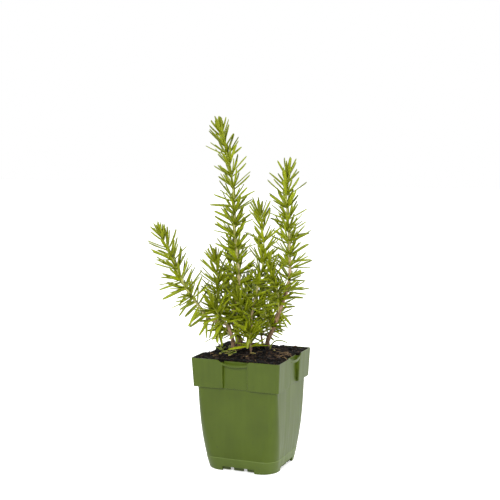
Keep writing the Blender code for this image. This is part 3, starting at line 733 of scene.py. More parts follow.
def tube(name, points, radii, sides=2):
    """A round tube with closed ends along points in millimetres."""
    curve = bpy.data.curves.new(name, "CURVE")
    curve.dimensions = "3D"
    curve.bevel_depth = MM
    curve.bevel_resolution = sides
    curve.use_fill_caps = True
    line = curve.splines.new("POLY")
    line.points.add(len(points) - 1)
    for point, spot, radius in zip(line.points, points, radii):
        point.co = (*(Vector(spot) * MM), 1)
        point.radius = radius
    obj = bpy.data.objects.new(name, curve)
    bpy.context.scene.collection.objects.link(obj)
    only(obj)
    bpy.ops.object.convert(target="MESH")
    obj = bpy.context.object
    with editing(obj):
        pick_all()
        bpy.ops.mesh.remove_doubles(threshold=1e-6)
        bpy.ops.mesh.normals_make_consistent(inside=False)
    return obj


def mark(mesh, name, values):
    """Writes one number for each vertex, for a material to read."""
    layer = mesh.attributes.get(name) or mesh.attributes.new(name, "FLOAT", "POINT")
    layer.data.foreach_set("value", np.broadcast_to(values, len(mesh.vertices)).astype(np.float32))


def spots(mesh):
    """The mesh's vertices in millimetres."""
    flat = np.empty(len(mesh.vertices) * 3, np.float32)
    mesh.vertices.foreach_get("co", flat)
    return flat.reshape(-1, 3).astype(float) / MM


def copied(pattern, name, points):
    """A copy of the pattern with its own mesh, and its vertices at these places in millimetres."""
    obj = pattern.copy()
    obj.data = pattern.data.copy()
    obj.name = name
    bpy.context.scene.collection.objects.link(obj)
    obj.data.vertices.foreach_set("co", (points * MM).astype(np.float32).ravel())
    obj.data.update()
    return obj


def dress(obj, slot, nodes, *materials):
    """Gives a finished piece its materials and body, and hides the solids that it stands for. The
    slot is not used.
    """
    if materials:
        obj.data.materials.clear()
        for made in materials:
            obj.data.materials.append(made)
    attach(obj, "root")
    if nodes:
        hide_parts(*nodes)


# Materials.
def linear(code):
    """An sRGB hex colour as the linear colour that the shader takes."""
    parts = [int(code[k:k + 2], 16) / 255 for k in (1, 3, 5)]
    return (*[p / 12.92 if p <= 0.04045 else ((p + 0.055) / 1.055) ** 2.4 for p in parts], 1.0)


def add_node(tree, kind, settings=None, stops=(), **inputs):
    """Adds a node. An input is a value, a socket, or a node that feeds it, and _6 is number 6."""
    node = tree.nodes.new(kind)
    for key, value in (settings or {}).items():
        setattr(node, key, value)
    for key, value in inputs.items():
        place = node.inputs[int(key[1:]) if key[0] == "_" else key.replace("_", " ")]
        if isinstance(value, bpy.types.Node):
            value = next(socket for socket in value.outputs if socket.enabled)
        if isinstance(value, bpy.types.NodeSocket):
            tree.links.new(value, place)
        else:
            place.default_value = value
    while stops and len(node.color_ramp.elements) < len(stops):
        node.color_ramp.elements.new(0.5)
    for k, (position, colour) in enumerate(stops):
        stop = node.color_ramp.elements[k]
        stop.position = position
        stop.color = linear(colour) if isinstance(colour, str) else (colour, colour, colour, 1)
    return node


def material(name, look, *values):
    """A material with the shader that look makes, given a way to add its nodes."""
    made = bpy.data.materials.new(name)
    made.use_nodes = True
    made.node_tree.nodes.clear()
    node = functools.partial(add_node, made.node_tree)
    node("ShaderNodeOutputMaterial", Surface=look(node, *values))
    return made


def mottled(node, colour, pattern, low, high, dark, pale):
    """The colour, times dark where the pattern is low and times pale where it is high."""
    shade = node("ShaderNodeMapRange", Value=pattern, From_Min=low, From_Max=high, To_Min=dark,
                 To_Max=pale)
    return node("ShaderNodeMix", MULTIPLY, _0=1.0, _6=colour, _7=shade)


def polypropylene(node):
    """Injection-moulded polypropylene: satin olive, with flow streaks up the wall and dust specks.
    It is painted paler in the foot band, as light thrown up from the floor, with a painted highlight
    along the band's step, a painted shadow in a line under the ledge, and painted shade in the space
    under the floor. The skin's pits are drawn coarser than real, to show."""
    where = node("ShaderNodeTexCoord").outputs["Object"]
    height = node("ShaderNodeSeparateXYZ", Vector=where).outputs["Z"]
    upright = node("ShaderNodeMapping", Vector=where, Scale=(1, 1, 0.05))
    patches = node("ShaderNodeTexNoise", Vector=where, Scale=1 / (34 * MM), Detail=2.0)
    streaks = node("ShaderNodeTexNoise", Vector=upright, Scale=1 / (5 * MM), Detail=3.0)
    specks = node("ShaderNodeTexNoise", Vector=where, Scale=1 / (2.6 * MM), Detail=0.0)
    pits = node("ShaderNodeTexNoise", Vector=where, Scale=1 / (0.7 * MM), Detail=2.0)
    # Masks by height: the foot band, painted paler as light from the floor; its step, a painted
    # highlight; and a line under the ledge, a painted shadow.
    band, step, ledge = (node("ShaderNodeMapRange", Value=height, From_Min=start * MM,
                              From_Max=end * MM)
                         for start, end in ((BAND_TOP + 0.4, BAND_TOP),
                                            (BAND_TOP - 0.5, BAND_TOP + 0.7),
                                            (LEDGE - 1.6, LEDGE + 0.4)))
    # Attribute hollow carries the painted shade under the floor.
    hollow = node("ShaderNodeAttribute", {"attribute_name": "hollow"}).outputs["Fac"]
    colour = node("ShaderNodeValToRGB", stops=((0.35, POT_DARK), (0.65, POT_LIGHT)), Fac=patches)
    for source, stops, coat in (
            (streaks, ((0.42, 0.0), (0.7, 0.34)), POT_STREAK),
            (specks, ((0.79, 0.0), (0.82, 0.4)), POT_SPECK),
            (band, ((0.0, 0.0), (1.0, 0.4)), POT_FOOT),
            (step, ((0.2, 0.0), (0.4, 0.5), (0.6, 0.5), (0.8, 0.0)), POT_STEP_HIGHLIGHT),
            (ledge, ((0.1, 0.0), (0.6, 0.5), (0.8, 0.5), (0.84, 0.0)), POT_PAINTED_SHADE),
            (hollow, ((0.0, 0.0), (1.0, 1.0)), POT_PAINTED_SHADE)):
        share = node("ShaderNodeValToRGB", stops=stops, Fac=source)
        colour = node("ShaderNodeMix", BLEND, _0=share, _6=colour, _7=linear(coat))
    satin = node("ShaderNodeValToRGB", stops=((0.3, 0.33), (0.7, 0.46)), Fac=streaks)
    skin = node("ShaderNodeBump", Height=pits, Strength=0.12, Distance=0.05 * MM)
    wavy = node("ShaderNodeBump", Height=streaks, Strength=0.25, Distance=0.1 * MM, Normal=skin)
    return node("ShaderNodeBsdfPrincipled", Base_Color=colour, IOR=1.42, Specular_IOR_Level=0.4,
                Roughness=satin, Normal=wavy)


def leaf_skin(node, colours, dark, dark_share, rib, rib_share, roughness):
    """Rosemary leaf: a waxy upper side or a felted underside, with a pale rib and pale margins.
    Attribute age runs from the oldest leaves of a stem to the youngest, and tint differs from leaf
    to leaf. The UV map runs across the leaf and along it. Its cells and felt are drawn coarser
    than real, to show."""
    age, tint = (node("ShaderNodeAttribute", {"attribute_name": name}).outputs["Fac"]
                 for name in ("age", "tint"))
    chart = node("ShaderNodeTexCoord")
    split = node("ShaderNodeSeparateXYZ", Vector=chart.outputs["UV"])
    off = node("ShaderNodeMath", {"operation": "SUBTRACT"}, _0=split, _1=0.5)
    away = node("ShaderNodeMath", {"operation": "ABSOLUTE"}, _0=off)
    # The colours by age are partly painted light, evening out the brightness of low leaves and tips.
    grown = node("ShaderNodeValToRGB", Fac=age, stops=tuple(zip((0.0, 0.45, 1.0), colours)))
    share = node("ShaderNodeMath", {"operation": "MULTIPLY"}, _0=tint, _1=dark_share)
    tinted = node("ShaderNodeMix", BLEND, _0=share, _6=grown, _7=linear(dark))
    line = node("ShaderNodeValToRGB", Fac=away,
                stops=((0.0, rib_share), (0.07, 0.0), (0.4, 0.0), (0.5, 0.8 * rib_share)))
    ribbed = node("ShaderNodeMix", BLEND, _0=line, _6=tinted, _7=linear(rib))
    where = chart.outputs["Object"]
    cells = node("ShaderNodeTexNoise", Vector=where, Scale=1 / (1.4 * MM), Detail=3.0)
    grit = node("ShaderNodeTexNoise", Vector=where, Scale=1 / (0.35 * MM), Detail=2.0)
    puckered = node("ShaderNodeBump", Height=grit, Strength=0.3, Distance=0.1 * MM)
    return node("ShaderNodeBsdfPrincipled", IOR=1.3, Roughness=roughness, Normal=puckered,
                Base_Color=mottled(node, ribbed, cells, 0.3, 0.7, 0.86, 1.1))


def bark_skin(node):
    """Rosemary bark. Attribute age runs from brown, flaking wood at the mix to the pale felted
    green of the tips. The flakes and cracks run up the stem."""
    age = node("ShaderNodeAttribute", {"attribute_name": "age"}).outputs["Fac"]
    wood = node("ShaderNodeValToRGB", Fac=age, stops=BARK_COLOURS)
    where = node("ShaderNodeTexCoord").outputs["Object"]
    upright = node("ShaderNodeMapping", Vector=where, Scale=(1, 1, 0.22))
    flakes = node("ShaderNodeTexNoise", Vector=upright, Scale=1 / (0.9 * MM), Detail=4.0)
    rough = node("ShaderNodeBump", Height=flakes, Strength=0.7, Distance=0.35 * MM)
    return node("ShaderNodeBsdfPrincipled", Roughness=0.78, IOR=1.4, Normal=rough,
                Base_Color=mottled(node, wood, flakes, 0.36, 0.62, 0.55, 1.22))


def moist_peat(node):
    """Moist peat mix: almost black and dull, with brown flecks of bark about 2 mm across."""
    where = node("ShaderNodeTexCoord").outputs["Object"]
    clods = node("ShaderNodeTexNoise", Vector=where, Scale=1 / (5 * MM), Detail=5.0)
    earth = node("ShaderNodeValToRGB", Fac=clods, stops=PEAT_COLOURS)
    flecks = node("ShaderNodeTexVoronoi", Vector=where, Scale=1 / (1.9 * MM))
    one = node("ShaderNodeSeparateColor", Color=flecks.outputs["Color"])
    share = node("ShaderNodeValToRGB", Fac=one, stops=((0.86, 0.0), (0.9, 0.6)))
    flecked = node("ShaderNodeMix", BLEND, _0=share, _6=earth, _7=linear(PEAT_FLECK))
    fine = node("ShaderNodeTexNoise", Vector=where, Scale=1 / (0.8 * MM), Detail=4.0)
    rough = node("ShaderNodeBump", Height=fine, Strength=0.9, Distance=0.6 * MM)
    return node("ShaderNodeBsdfPrincipled", Base_Color=flecked, Roughness=0.92, IOR=1.35,
                Specular_IOR_Level=0.15, Normal=rough)


def litter_skin(node, colours, roughness):
    """Dry bits: attribute tint picks each piece's own colour."""
    tint = node("ShaderNodeAttribute", {"attribute_name": "tint"}).outputs["Fac"]
    own = node("ShaderNodeValToRGB", Fac=tint, stops=colours)
    where = node("ShaderNodeTexCoord").outputs["Object"]
    mottle = node("ShaderNodeTexNoise", Vector=where, Scale=1 / (0.9 * MM), Detail=3.0)
    rough = node("ShaderNodeBump", Height=mottle, Strength=0.6, Distance=0.2 * MM)
    return node("ShaderNodeBsdfPrincipled", Roughness=roughness, IOR=1.4, Normal=rough,
                Base_Color=mottled(node, own, mottle, 0.3, 0.7, 0.7, 1.2))


# The pot.
def body_section(z, inset):
    """Half width, corner radius and height of the pot's body, set in by inset."""
    share = z / LEDGE
    half = BODY_FOOT_HALF + (BODY_TOP_HALF - BODY_FOOT_HALF) * (1 - (1 - share) ** BODY_CURVE)
    corner = BODY_FOOT_CORNER + (BODY_TOP_CORNER - BODY_FOOT_CORNER) * share
    return half - inset, corner - inset, z


def collar_section(z, share, inset):
    half = COLLAR_FOOT_HALF + (POT_SIDE / 2 - COLLAR_FOOT_HALF) * share
    return half - inset, COLLAR_CORNER - inset, z


def pot_outside():
    foot = [body_section(z, -BAND_STEP) for z in np.linspace(0, BAND_TOP, 5)]
    body = [body_section(z, 0) for z in np.linspace(BAND_TOP + 0.4, LEDGE, 20)]
    collar = [collar_section(LEDGE, 0, 0), collar_section(POT_HEIGHT, 1, 0)]
    return loft("moulded_pot", foot + body + collar)


def pot_inside():
    """The space in the pot, with a block left standing behind each label slot."""
    body = [body_section(z, WALL) for z in np.linspace(FLOOR_TOP, LEDGE, 22)]
    half, corner, _ = body[-1]
    lip = (half, corner, LEDGE + WALL)
    collar = [collar_section(LEDGE + WALL + 0.2, 0, WALL), collar_section(POT_HEIGHT, 1, WALL),
              collar_section(POT_HEIGHT + 6, 1, WALL)]
    space = loft("pot_space", body[:-1] + [lip] + collar)
    half = SLOT_WIDTH / 2 + WALL
    low, high = (-half, -POT_SIDE, LEDGE - 6), (half, WALL - PANEL_HALF, POT_HEIGHT + 9)
    combine(space, "DIFFERENCE", *[turned(block(low, high), side) for side in range(4)])
    return space


def slot_spot(vert):
    """Where a point stands at the nearest label slot: along the side, and outwards."""
    x, y = abs(vert.co.x) / MM, abs(vert.co.y) / MM
    return min(x, y), max(x, y)


def soften_slots(pot):
    """Rounds the collar's corners at the foot of each label slot, then its edges along the slot."""
    half, collar = SLOT_WIDTH / 2, COLLAR_FOOT_HALF - 0.5

    def foot_corner(edge):
        (a, b), (c, d) = (slot_spot(vert) for vert in edge.verts)
        beside = abs(a - half) < 0.01 and abs(c - half) < 0.01
        return beside and max(b, d) > collar and level_with(edge, LEDGE)

    def slot_edge(edge):
        places = [slot_spot(vert) for vert in edge.verts]
        near = all(along < half + SLOT_FOOT_ROUND + 0.1 and out > collar for along, out in places)
        return near and edge.is_manifold and edge.calc_face_angle() > 0.6

    with editing(pot):
        for test, size, steps in ((foot_corner, SLOT_FOOT_ROUND, 5),
                                  (slot_edge, SLOT_EDGE_ROUND, 4)):
            pick("edges", test)
            bpy.ops.mesh.bevel(offset=size * MM, segments=steps, clamp_overlap=False)


def rim_dip(hand, length, depth):
    """A cutter that lowers the rim in a soft curve beside a label slot."""
    near, far = hand * (SLOT_WIDTH / 2 - 0.6), hand * (SLOT_WIDTH / 2 + length)
    low = (min(near, far), -POT_SIDE / 2 - 3, POT_HEIGHT + 0.001)
    high = (max(near, far), WALL + 1 - PANEL_HALF, POT_HEIGHT + 3)
    return bent_block(low, high, DIP_CUTS,
                      lambda x: (0, 0, -depth * eased((x - far) / (near - far))),
                      lambda spot: spot.z < POT_HEIGHT + 1)


def strap():
    """The strap across a label slot, bowed outwards and sagging."""
    reach = SLOT_WIDTH / 2 + 0.7

    def bow(x):
        share = 1 - (x / reach) ** 2
        return 0, -STRAP_BULGE * share, -STRAP_SAG * share

    return bent_block((-reach, -STRAP_OUT, STRAP_TOP - STRAP_HEIGHT),
                      (reach, STRAP_THICKNESS - STRAP_OUT, STRAP_TOP), STRAP_CUTS, bow)


def foot_ring():
    """The rib behind the feet and their arches, notched for drainage."""
    outer = [body_section(z, RING_INSET) for z in (RING_CLEARANCE, FLOOR_UNDERSIDE + 0.5)]
    ring = loft("foot_ring", outer)
    inner = [body_section(z, RING_INSET + RING_WALL) for z in (0, FLOOR_TOP)]
    cuts = [loft("ring_space", inner)]
    for side in (0, 1):
        for middle in (-CHANNEL_OFFSET, CHANNEL_OFFSET):
            low, high = middle - CHANNEL_WIDTH / 2, middle + CHANNEL_WIDTH / 2
            notch = block((low, -POT_SIDE / 2, -2), (high, POT_SIDE / 2, ARCH_HEIGHT))
            cuts.append(turned(notch, side))
    combine(ring, "DIFFERENCE", *cuts)
    return ring


def round_post(x, y, radius, low, high, sides):
    bpy.ops.mesh.primitive_cylinder_add(vertices=sides, radius=radius * MM,
                                        depth=(high - low) * MM,
                                        location=(x * MM, y * MM, (low + high) / 2 * MM))
    return place("post")


def cut_collar(pot):
    """The label slots, and the rim's dips beside and between them."""
    half = SLOT_WIDTH / 2
    for side in range(4):
        slot = block((-half, -POT_SIDE, LEDGE - 2), (half, -PANEL_HALF, POT_HEIGHT + 2))
        combine(pot, "DIFFERENCE", turned(slot, side))
    soften_slots(pot)
    for side in range(4):
        hand = 1 if side else -1
        lowered = block((-half, -POT_SIDE, PANEL_TOP),
                        (half, WALL + 1 - PANEL_HALF, POT_HEIGHT + 2))
        cuts = [rim_dip(hand, *LONG_DIP), rim_dip(-hand, *SHORT_DIP), lowered]
        combine(pot, "DIFFERENCE", *[turned(cut, side) for cut in cuts])


def cut_foot_and_inside(pot):
    """The arches between the feet, the hollow under the floor, the inside and the drain holes."""
    reach = ARCH_WIDTH / 2
    for side in (0, 1):
        arch = block((-reach, -POT_SIDE, -2), (reach, POT_SIDE, ARCH_HEIGHT))
        combine(pot, "DIFFERENCE", turned(arch, side))
    half, corner, _ = body_section(0, SKIRT_WALL)
    under = [(half, corner, -2), (half, corner, 0), body_section(FLOOR_UNDERSIDE, SKIRT_WALL)]
    combine(pot, "DIFFERENCE", loft("hollow_foot", under), pot_inside())
    for i in (-1, 0, 1):
        for j in (-1, 0, 1):
            if i or j:
                drain = round_post(i * DRAIN_OFFSET, j * DRAIN_OFFSET, DRAIN_RADIUS, 0,
                                   FLOOR_TOP + 3, 24)
                combine(pot, "DIFFERENCE", drain)


def outer_edge(edge):
    return edge.is_manifold and edge.is_convex and edge.calc_face_angle() > math.radians(38)


def round_edges(pot):
    """Rounds the outer edges. The ledge is cut in triangles first, because its one hollow face
    would fold over itself."""
    with editing(pot):
        pick("faces", lambda face: level_with(face, LEDGE))
        bpy.ops.mesh.quads_convert_to_tris()
        pick("edges", outer_edge)
        bpy.ops.mesh.bevel(offset=EDGE_ROUND * MM, segments=2, clamp_overlap=False,
                           miter_outer="ARC")
    bpy.ops.object.shade_smooth_by_angle(angle=math.radians(32))
    modify(pot, "WEIGHTED_NORMAL", keep_sharp=True)


def mark_hollow(pot):
    """Attribute hollow: painted shade, by how deep each point lies in the space under the floor."""
    where = np.abs(spots(pot.data))
    half = np.array([body_section(min(z, LEDGE), 0)[0] for z in where[:, 2]])
    depth = half - where[:, :2].max(axis=1)
    low = where[:, 2] < FLOOR_UNDERSIDE + 0.3
    beside_feet = where[:, :2].min(axis=1) < ARCH_WIDTH / 2 + 1
    painted_shade = HOLLOW_SHADE * np.clip(depth / RING_INSET, 0, 1)
    mark(pot.data, "hollow", np.where(low & beside_feet, painted_shade, 0))


def make_pot():
    pot = pot_outside()
    cut_collar(pot)
    cut_foot_and_inside(pot)
    combine(pot, "UNION", *[turned(strap(), side) for side in range(4)])
    combine(pot, "UNION", foot_ring(),
            round_post(0, 0, BOSS_RADIUS, 0, FLOOR_UNDERSIDE + 0.5, 32))
    round_edges(pot)
    mark_hollow(pot)
    dress(pot, "green_plastic", ["pot"], material("moulded polypropylene", polypropylene))


# The potting mix.
def mix_level(x, y):
    """Height of the mix's surface, which is heaped up to the rim along the pot's walls."""
    share = min(1.0, max(0.0, (max(abs(x), abs(y)) - HEAP_START) / HEAP_REACH))
    return soil_level(x, y) + HEAP_RISE * eased(share)


def solid_copy(node, name):
    """A copy of a solid's mesh with its points merged, as a new piece."""
    obj = bpy.data.objects.new(name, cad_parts[node].data.copy())
    bpy.context.scene.collection.objects.link(obj)
    with editing(obj):
        pick_all()
        bpy.ops.mesh.remove_doubles(threshold=1e-6)
    return obj


def top_face(face):
    return face.normal.z > 0.3 and face.calc_center_median().z > (SOIL_EDGE - 5) * MM


def make_peat_bed():
    """The mix itself, its top broken up into clods."""
    bed = solid_copy("potting_soil", "peat_bed")
    with editing(bed):
        pick("faces", top_face)
        bpy.ops.mesh.subdivide(number_cuts=PEAT_CUTS)
        top = bpy.context.object.vertex_groups.new(name="top")
        bpy.ops.object.vertex_group_assign()
    where = spots(bed.data)
    is_top = np.array([len(vert.groups) > 0 for vert in bed.data.vertices])
    rise = [mix_level(x, y) - soil_level(x, y) for x, y, _ in where]
    where[:, 2] += np.where(is_top, rise, 0)
    bed.data.vertices.foreach_set("co", (where * MM).ravel())
    for size, height in CLODS:
        clods = bpy.data.textures.new("clods", "CLOUDS")
        clods.noise_scale = size * MM
        modify(bed, "DISPLACE", texture=clods, texture_coords="LOCAL", direction="Z",
               vertex_group=top.name, mid_level=0.5, strength=height * MM)
    smooth(bed)
    dress(bed, "potting_mix", ["potting_soil"], material("moist peat", moist_peat))


def crumb_patterns():
    """Broken lumps, about 1 mm across, to copy. The first half of them has more faces, for the
    large crumbs."""
    patterns = []
    for k in range(2 * CRUMB_SHAPES):
        bpy.ops.mesh.primitive_ico_sphere_add(subdivisions=2 if k < CRUMB_SHAPES else 1,
                                              radius=0.5 * MM)
        lump = place(f"crumb_{k}")
        with editing(lump):
            pick_all()
            bpy.ops.transform.vertex_random(offset=0.16 * MM, seed=k + 1)
            bpy.ops.transform.resize(value=(1.25, 0.9, 0.62))
            bpy.ops.mesh.normals_make_consistent(inside=False)
        patterns.append(lump)
    return patterns


def mix_spot(draw):
    """A random place on the mix, clear of the pot's wall and of the panels behind the slots."""
    while True:
        x, y = draw.uniform(-49, 49), draw.uniform(-49, 49)
        if min(abs(x), abs(y)) > SLOT_WIDTH / 2 + 2.5 or max(abs(x), abs(y)) < PANEL_HALF - 3.5:
            return x, y


def dress_litter(litter, kind, colours, roughness):
    """Finishes a piece of loose bits, which stands for none of the solids."""
    dress(litter, "potting_mix", [], material(kind, litter_skin, colours, roughness))


def make_crumbs():
    draw = random.Random(31)
    patterns = crumb_patterns()
    shapes = [spots(pattern.data) for pattern in patterns]
    crumbs = []
    for k in range(CRUMB_COUNT):
        large = k % 5 == 0
        kind = draw.randrange(CRUMB_SHAPES) + (0 if large else CRUMB_SHAPES)
        size = draw.uniform(2.4, 4.4) if large else draw.uniform(0.9, 2.3)
        x, y = mix_spot(draw)
        turn = Matrix.Rotation(draw.uniform(0, 2 * math.pi), 3, "Z")
        turn = np.array(turn @ Matrix.Rotation(draw.uniform(-0.5, 0.5), 3, "X"))
        centre = np.array((x, y, mix_level(x, y) + 0.22 * size))
        crumb = copied(patterns[kind], "crumb", shapes[kind] * size @ turn.T + centre)
        mark(crumb.data, "tint", draw.random() ** 2)
        crumbs.append(crumb)
    for pattern in patterns:
        bpy.data.objects.remove(pattern)
    dress_litter(join("peat_crumbs", crumbs), "peat crumbs", CRUMB_COLOURS, 0.9)


def lying_route(x, y, heading, length, arch, draw):
    """A loosely curved line on the mix, its middle lifted by arch."""
    route, turn = [], math.radians(heading)
    stride = length / (LYING_POINTS - 1)
    for k in range(LYING_POINTS):
        share = k / (LYING_POINTS - 1)
        route.append((x, y, mix_level(x, y) + 0.5 + arch * 4 * share * (1 - share)))
        turn += draw.uniform(-0.42, 0.42)
        x += math.cos(turn) * stride
        y += math.sin(turn) * stride
    return route


def fibre(draw, spot, heading, length, arches, radii, tints):
    """A bit that lies on the mix, its arch, radius and tint each drawn between two values."""
    route = lying_route(*spot, heading, length, draw.uniform(*arches), draw)
    made = tube("fibre", route, [draw.uniform(*radii)] * LYING_POINTS, 1)
    mark(made.data, "tint", draw.uniform(*tints))
    return made


def make_fibres():
    """Straw-coloured rootlets and bits of dry stalk on the mix."""
    draw = random.Random(47)
    fibres = [fibre(draw, *rootlet, (0.6, 2.2), (0.28, 0.38), (0.65, 1.0)) for rootlet in ROOTLETS]
    for _ in range(FIBRE_COUNT):
        spot = [0.86 * value for value in mix_spot(draw)]
        heading, length = draw.uniform(0, 360), draw.uniform(4, 13)
        fibres.append(fibre(draw, spot, heading, length, (0, 1.2), (0.14, 0.3), (0, 0.9)))
    fibres = join("peat_fibres", fibres)
    smooth(fibres)
    dress_litter(fibres, "dry rootlets", FIBRE_COLOURS, 0.8)


def make_fallen_leaves(pattern):
    """Leaves that have dropped on the mix, from fresh green to straw."""
    draw = random.Random(53)
    wanted = [(*sprig, 0.4, 0.1) for sprig in SPRIGS] + [(*bit, 0.15, 0.5) for bit in DRY_BITS]
    for _ in range(FALLEN_COUNT):
        spot = [0.84 * value for value in mix_spot(draw)]
        heading, length = draw.uniform(0, 360), draw.uniform(6, 15)
        wanted.append((spot, heading, length, 0.03, draw.choice((0.2, 0.55, 0.85, 1.0))))
    shape = spots(pattern.data)
    fallen = []
    for (x, y), heading, length, rise, tint in wanted:
        turn = math.radians(heading)
        way = unit(np.array((math.cos(turn), math.sin(turn), rise)))
        side = np.array((-math.sin(turn), math.cos(turn), 0.0))
        face = unit(np.cross(way, side))
        root = np.array((x, y, mix_level(x, y) + 0.9))
        leaf = Leaf(root, way, face * draw.uniform(-0.15, 0.1), face, length, 0.72 * LEAF_WIDTH)
        points = leaf_points(shape, leaf, 0.0, draw.uniform(-0.8, 0.8), 1.0)
        piece = copied(pattern, "fallen", points)
        mark(piece.data, "tint", min(1.0, max(0.0, tint + draw.uniform(-0.06, 0.06))))
        fallen.append(piece)
    dress_litter(join("fallen_leaves", fallen), "fallen leaves", FALLEN_COLOURS, 0.6)


def make_arched_blade():
    """A long thin leaf blade that arches over the mix."""
    points, _ = smooth_route(ARCHED_BLADE, 1.5)
    radii = np.interp(np.linspace(0, 1, len(points)), (0, 0.7, 1), (0.85, 0.75, 0.25))
    blade = tube("arched_blade", points, radii)
    smooth(blade)
    mark(blade.data, "tint", 0.12)
    dress_litter(blade, "old blade", FALLEN_COLOURS, 0.6)


# The leaves and stems.
def make_leaf_pattern():
    """One full-grown leaf, root at the origin, length on Y, upper side up: its margins roll down,
    its midrib is a groove, and it is blunt at the tip. The second material is for the underside."""
    bpy.ops.mesh.primitive_grid_add(x_subdivisions=len(LEAF_COLUMNS) - 1,
                                    y_subdivisions=len(LEAF_ROWS) - 1, size=1)
    leaf = bpy.context.object
    leaf.scale = (LEAF_TRUE_WIDTH * MM, LEAF_LENGTH * MM, 1)
    leaf.location.y = LEAF_LENGTH * MM / 2
    leaf = place("leaf_pattern")
    rows = [k / (len(LEAF_ROWS) - 1) * LEAF_LENGTH * MM for k in range(len(LEAF_ROWS))]
    with editing(leaf):
        for x, height in LEAF_COLUMNS:
            x *= LEAF_TRUE_WIDTH / 2 * MM
            pick("verts", lambda v: abs(v.co.x - x) < 1e-6)
            bpy.ops.transform.translate(value=(0, 0, height * MM))
        for y, (share, width) in reversed(list(zip(rows, LEAF_ROWS))):
            pick("verts", lambda v: abs(v.co.y - y) < 1e-6 and not v.hide)
            bpy.ops.transform.resize(value=(width, 1, 0.5 + 0.5 * width), center_override=(0, y, 0))
            bpy.ops.transform.translate(value=(0, share * LEAF_LENGTH * MM - y, 0))
            bpy.ops.mesh.hide()
        bpy.ops.mesh.reveal()
    leaf.data.materials.append(None)
    leaf.data.materials.append(None)
    modify(leaf, "SOLIDIFY", thickness=LEAF_SKIN * MM, offset=-1, material_offset=1)
    bpy.ops.object.shade_smooth_by_angle(angle=math.radians(60))
    return leaf


def leaf_points(shape, leaf, roll, twist, sway):
    """The pattern's points bent along the leaf, rolled about it, twisted more towards its tip, and
    swung sideways there."""
    share = (shape[:, 1] / LEAF_LENGTH)[:, None]
    across = unit(np.cross(leaf.way, leaf.face))
    line = leaf_at(leaf, share) + across * sway * share * share
    way = leaf.way + leaf.bend * share + across * 2 * sway / leaf.length * share
    way /= np.linalg.norm(way, axis=1)[:, None]
    face = leaf.face - (way @ leaf.face)[:, None] * way
    face /= np.linalg.norm(face, axis=1)[:, None]
    side = np.cross(way, face)
    cos, sin = np.cos(roll + twist * share), np.sin(roll + twist * share)
    face, side = cos * face + sin * side, cos * side - sin * face
    return line + side * shape[:, :1] * (leaf.width / LEAF_WIDTH) + face * shape[:, 2:]


def members_of(name):
    """The stem itself, and the branches and shoots that grow from it."""
    return [key for key, rule in GROWTHS.items() if name in (key, rule.get("grows_from"))]


def leaf_age(key, leaf, grown):
    """0 for the lowest leaves of the plant, 1 for those of a stem's tip."""
    points, along, _ = grown[key]
    nearest = int(np.argmin(np.linalg.norm(points - leaf.root, axis=1)))
    start = 0.25 if "grows_from" in GROWTHS[key] else 0.0
    # Hanging leaves start further up the colour ramp, for a painted change in their brightness
    # rather than their age.
    if leaf.loose < 1:
        start = 0.6
    return start + (1 - start) * along[nearest] / along[-1]


def make_leaves(name, grown, pattern, skins):
    draw = random.Random(STEMS[name]["seed"] + 500)
    shape = spots(pattern.data)
    leaves = []
    for key in members_of(name):
        for leaf in grown[key].leaves:
            roll, twist, sway = (draw.uniform(-most, most) for most in (0.7, 0.6, 1.4))
            points = leaf_points(shape, leaf, roll * leaf.loose, twist * leaf.loose, sway)
            piece = copied(pattern, "leaf", points)
            mark(piece.data, "tint", draw.random())
            mark(piece.data, "age", leaf_age(key, leaf, grown))
            leaves.append(piece)
    dress(join(f"{name}_leaves", leaves), "rosemary", [name], *skins)


def bark_radii(rule, along):
    """The stem's radius along it, a little thicker at its fork and at each pair of leaves."""
    radii = np.interp(along, (0, along[-1]), rule["radius"])
    joint = 0.5 + 0.5 * np.cos(2 * math.pi * along / rule["gap"][1])
    radii = radii * (0.94 + 0.12 * joint ** 4)
    if "grows_from" in rule:
        radii = radii * (1 + 0.4 * np.exp(-(along / 4) ** 2))
    return radii


def furrow(part, age):
    """Roughens the bark, most where it is oldest."""
    woody = part.vertex_groups.new(name="woody")
    for vert, weight in enumerate(1 - age):
        woody.add([vert], float(weight), "REPLACE")
    furrows = bpy.data.textures.new("furrows", "CLOUDS")
    furrows.noise_scale = FURROW_SIZE * MM
    modify(part, "DISPLACE", texture=furrows, texture_coords="LOCAL", vertex_group="woody",
           mid_level=0.5, strength=FURROW_DEPTH * MM)


def make_bark(name, grown, skin):
    parts = []
    for key in members_of(name):
        rule = GROWTHS[key]
        points, along = smooth_route(rule["route"], BARK_STEP)
        radii = bark_radii(rule, along)
        start = 0.45
        if "grows_from" not in rule:
            x, y, _ = rule["route"][0]
            points = np.vstack([[x, y, soil_level(x, y) - BURIED], points])
            along, radii = np.append(0, along), np.append(radii[0], radii)
            start = 0.0
        part = tube(key, points, radii, 3)
        distances = np.linalg.norm(spots(part.data)[:, None] - points[None], axis=2)
        nearest = np.argmin(distances, axis=1)
        age = start + (1 - start) * (along[nearest] / along[-1]) ** WOODY.get(key, 1.0)
        mark(part.data, "age", age)
        furrow(part, age)
        parts.append(part)
    bark = join(f"{name}_bark", parts)
    smooth(bark)
    dress(bark, "rosemary", [name], skin)


# The studio.
def seen_or_lit(node, lit, seen):
    """One strength where the surface lights the pot, and another where the camera sees it."""
    by_camera = node("ShaderNodeLightPath").outputs["Is Camera Ray"]
    return node("ShaderNodeMix", _0=by_camera, _2=lit, _3=seen)


def white_paper(node):
    """White paper: dull, with a glow that keeps it white to the camera."""
    glow = seen_or_lit(node, FLOOR_SHINE, FLOOR_SEEN)
    return node("ShaderNodeBsdfPrincipled", Base_Color=(0.9, 0.9, 0.9, 1), Roughness=1.0,
                Specular_IOR_Level=0.0, Emission_Color=(1, 1, 1, 1), Emission_Strength=glow)


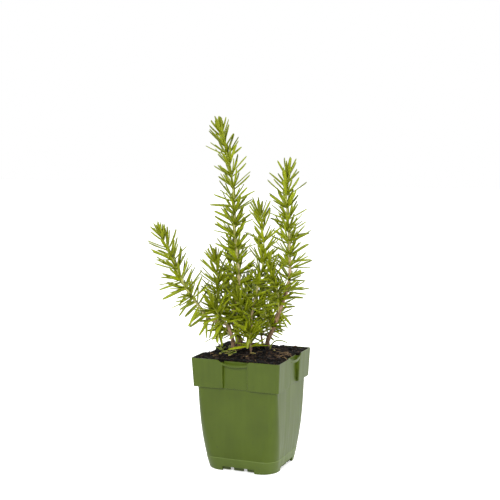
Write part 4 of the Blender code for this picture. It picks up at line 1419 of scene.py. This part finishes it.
def make_studio():
    world = bpy.data.worlds.new("white studio")
    bpy.context.scene.world = world
    world.use_nodes = True
    world.node_tree.nodes.clear()
    node = functools.partial(add_node, world.node_tree)
    way = node("ShaderNodeSeparateXYZ", Vector=node("ShaderNodeTexCoord").outputs["Generated"])
    surroundings = node("ShaderNodeMapRange", Value=way.outputs["Y"], From_Min=-0.7, From_Max=0.7,
                        To_Min=WORLD_FRONT, To_Max=WORLD_BACK)
    backdrop = node("ShaderNodeBackground", Color=(1, 1, 1, 1),
                    Strength=seen_or_lit(node, surroundings, 1.0))
    node("ShaderNodeOutputWorld", Surface=backdrop)
    for name, (spot, size, power) in LAMPS.items():
        light = bpy.data.lights.new(name, "AREA")
        light.shape = "DISK"
        light.size = size
        light.energy = power
        lamp = bpy.data.objects.new(name, light)
        bpy.context.scene.collection.objects.link(lamp)
        lamp.location = spot
        lamp.rotation_euler = (Vector(spot) - LAMP_AIM).to_track_quat("Z", "Y").to_euler()
    bpy.ops.mesh.primitive_plane_add(size=12)
    floor = place("studio_floor")
    floor.data.materials.append(material("white paper", white_paper))
    bpy.context.scene.view_settings.view_transform = "Standard"


def make_camera():
    lens = bpy.data.cameras.new("camera")
    lens.sensor_width = SENSOR_WIDTH
    lens.lens = FOCAL_LENGTH / PHOTO_WIDTH * SENSOR_WIDTH
    camera = bpy.data.objects.new("camera", lens)
    bpy.context.scene.collection.objects.link(camera)
    camera.location = CAMERA_PLACE
    camera.rotation_euler = (math.pi / 2 - CAMERA_DOWN, 0, CAMERA_TURN)
    bpy.context.scene.camera = camera


def main():
    make_camera()
    make_studio()
    make_pot()
    make_peat_bed()
    make_crumbs()
    make_fibres()
    pattern = make_leaf_pattern()
    make_fallen_leaves(pattern)
    make_arched_blade()
    skins = (material("rosemary leaf, upper side", leaf_skin, *UPPER_SIDE),
             material("rosemary leaf, felted underside", leaf_skin, *UNDERSIDE))
    bark = material("rosemary bark", bark_skin)
    grown = grow()
    for name, rule in STEMS.items():
        if "grows_from" not in rule:
            make_leaves(name, grown, pattern, skins)
            make_bark(name, grown, bark)
    bpy.data.objects.remove(pattern)


main()
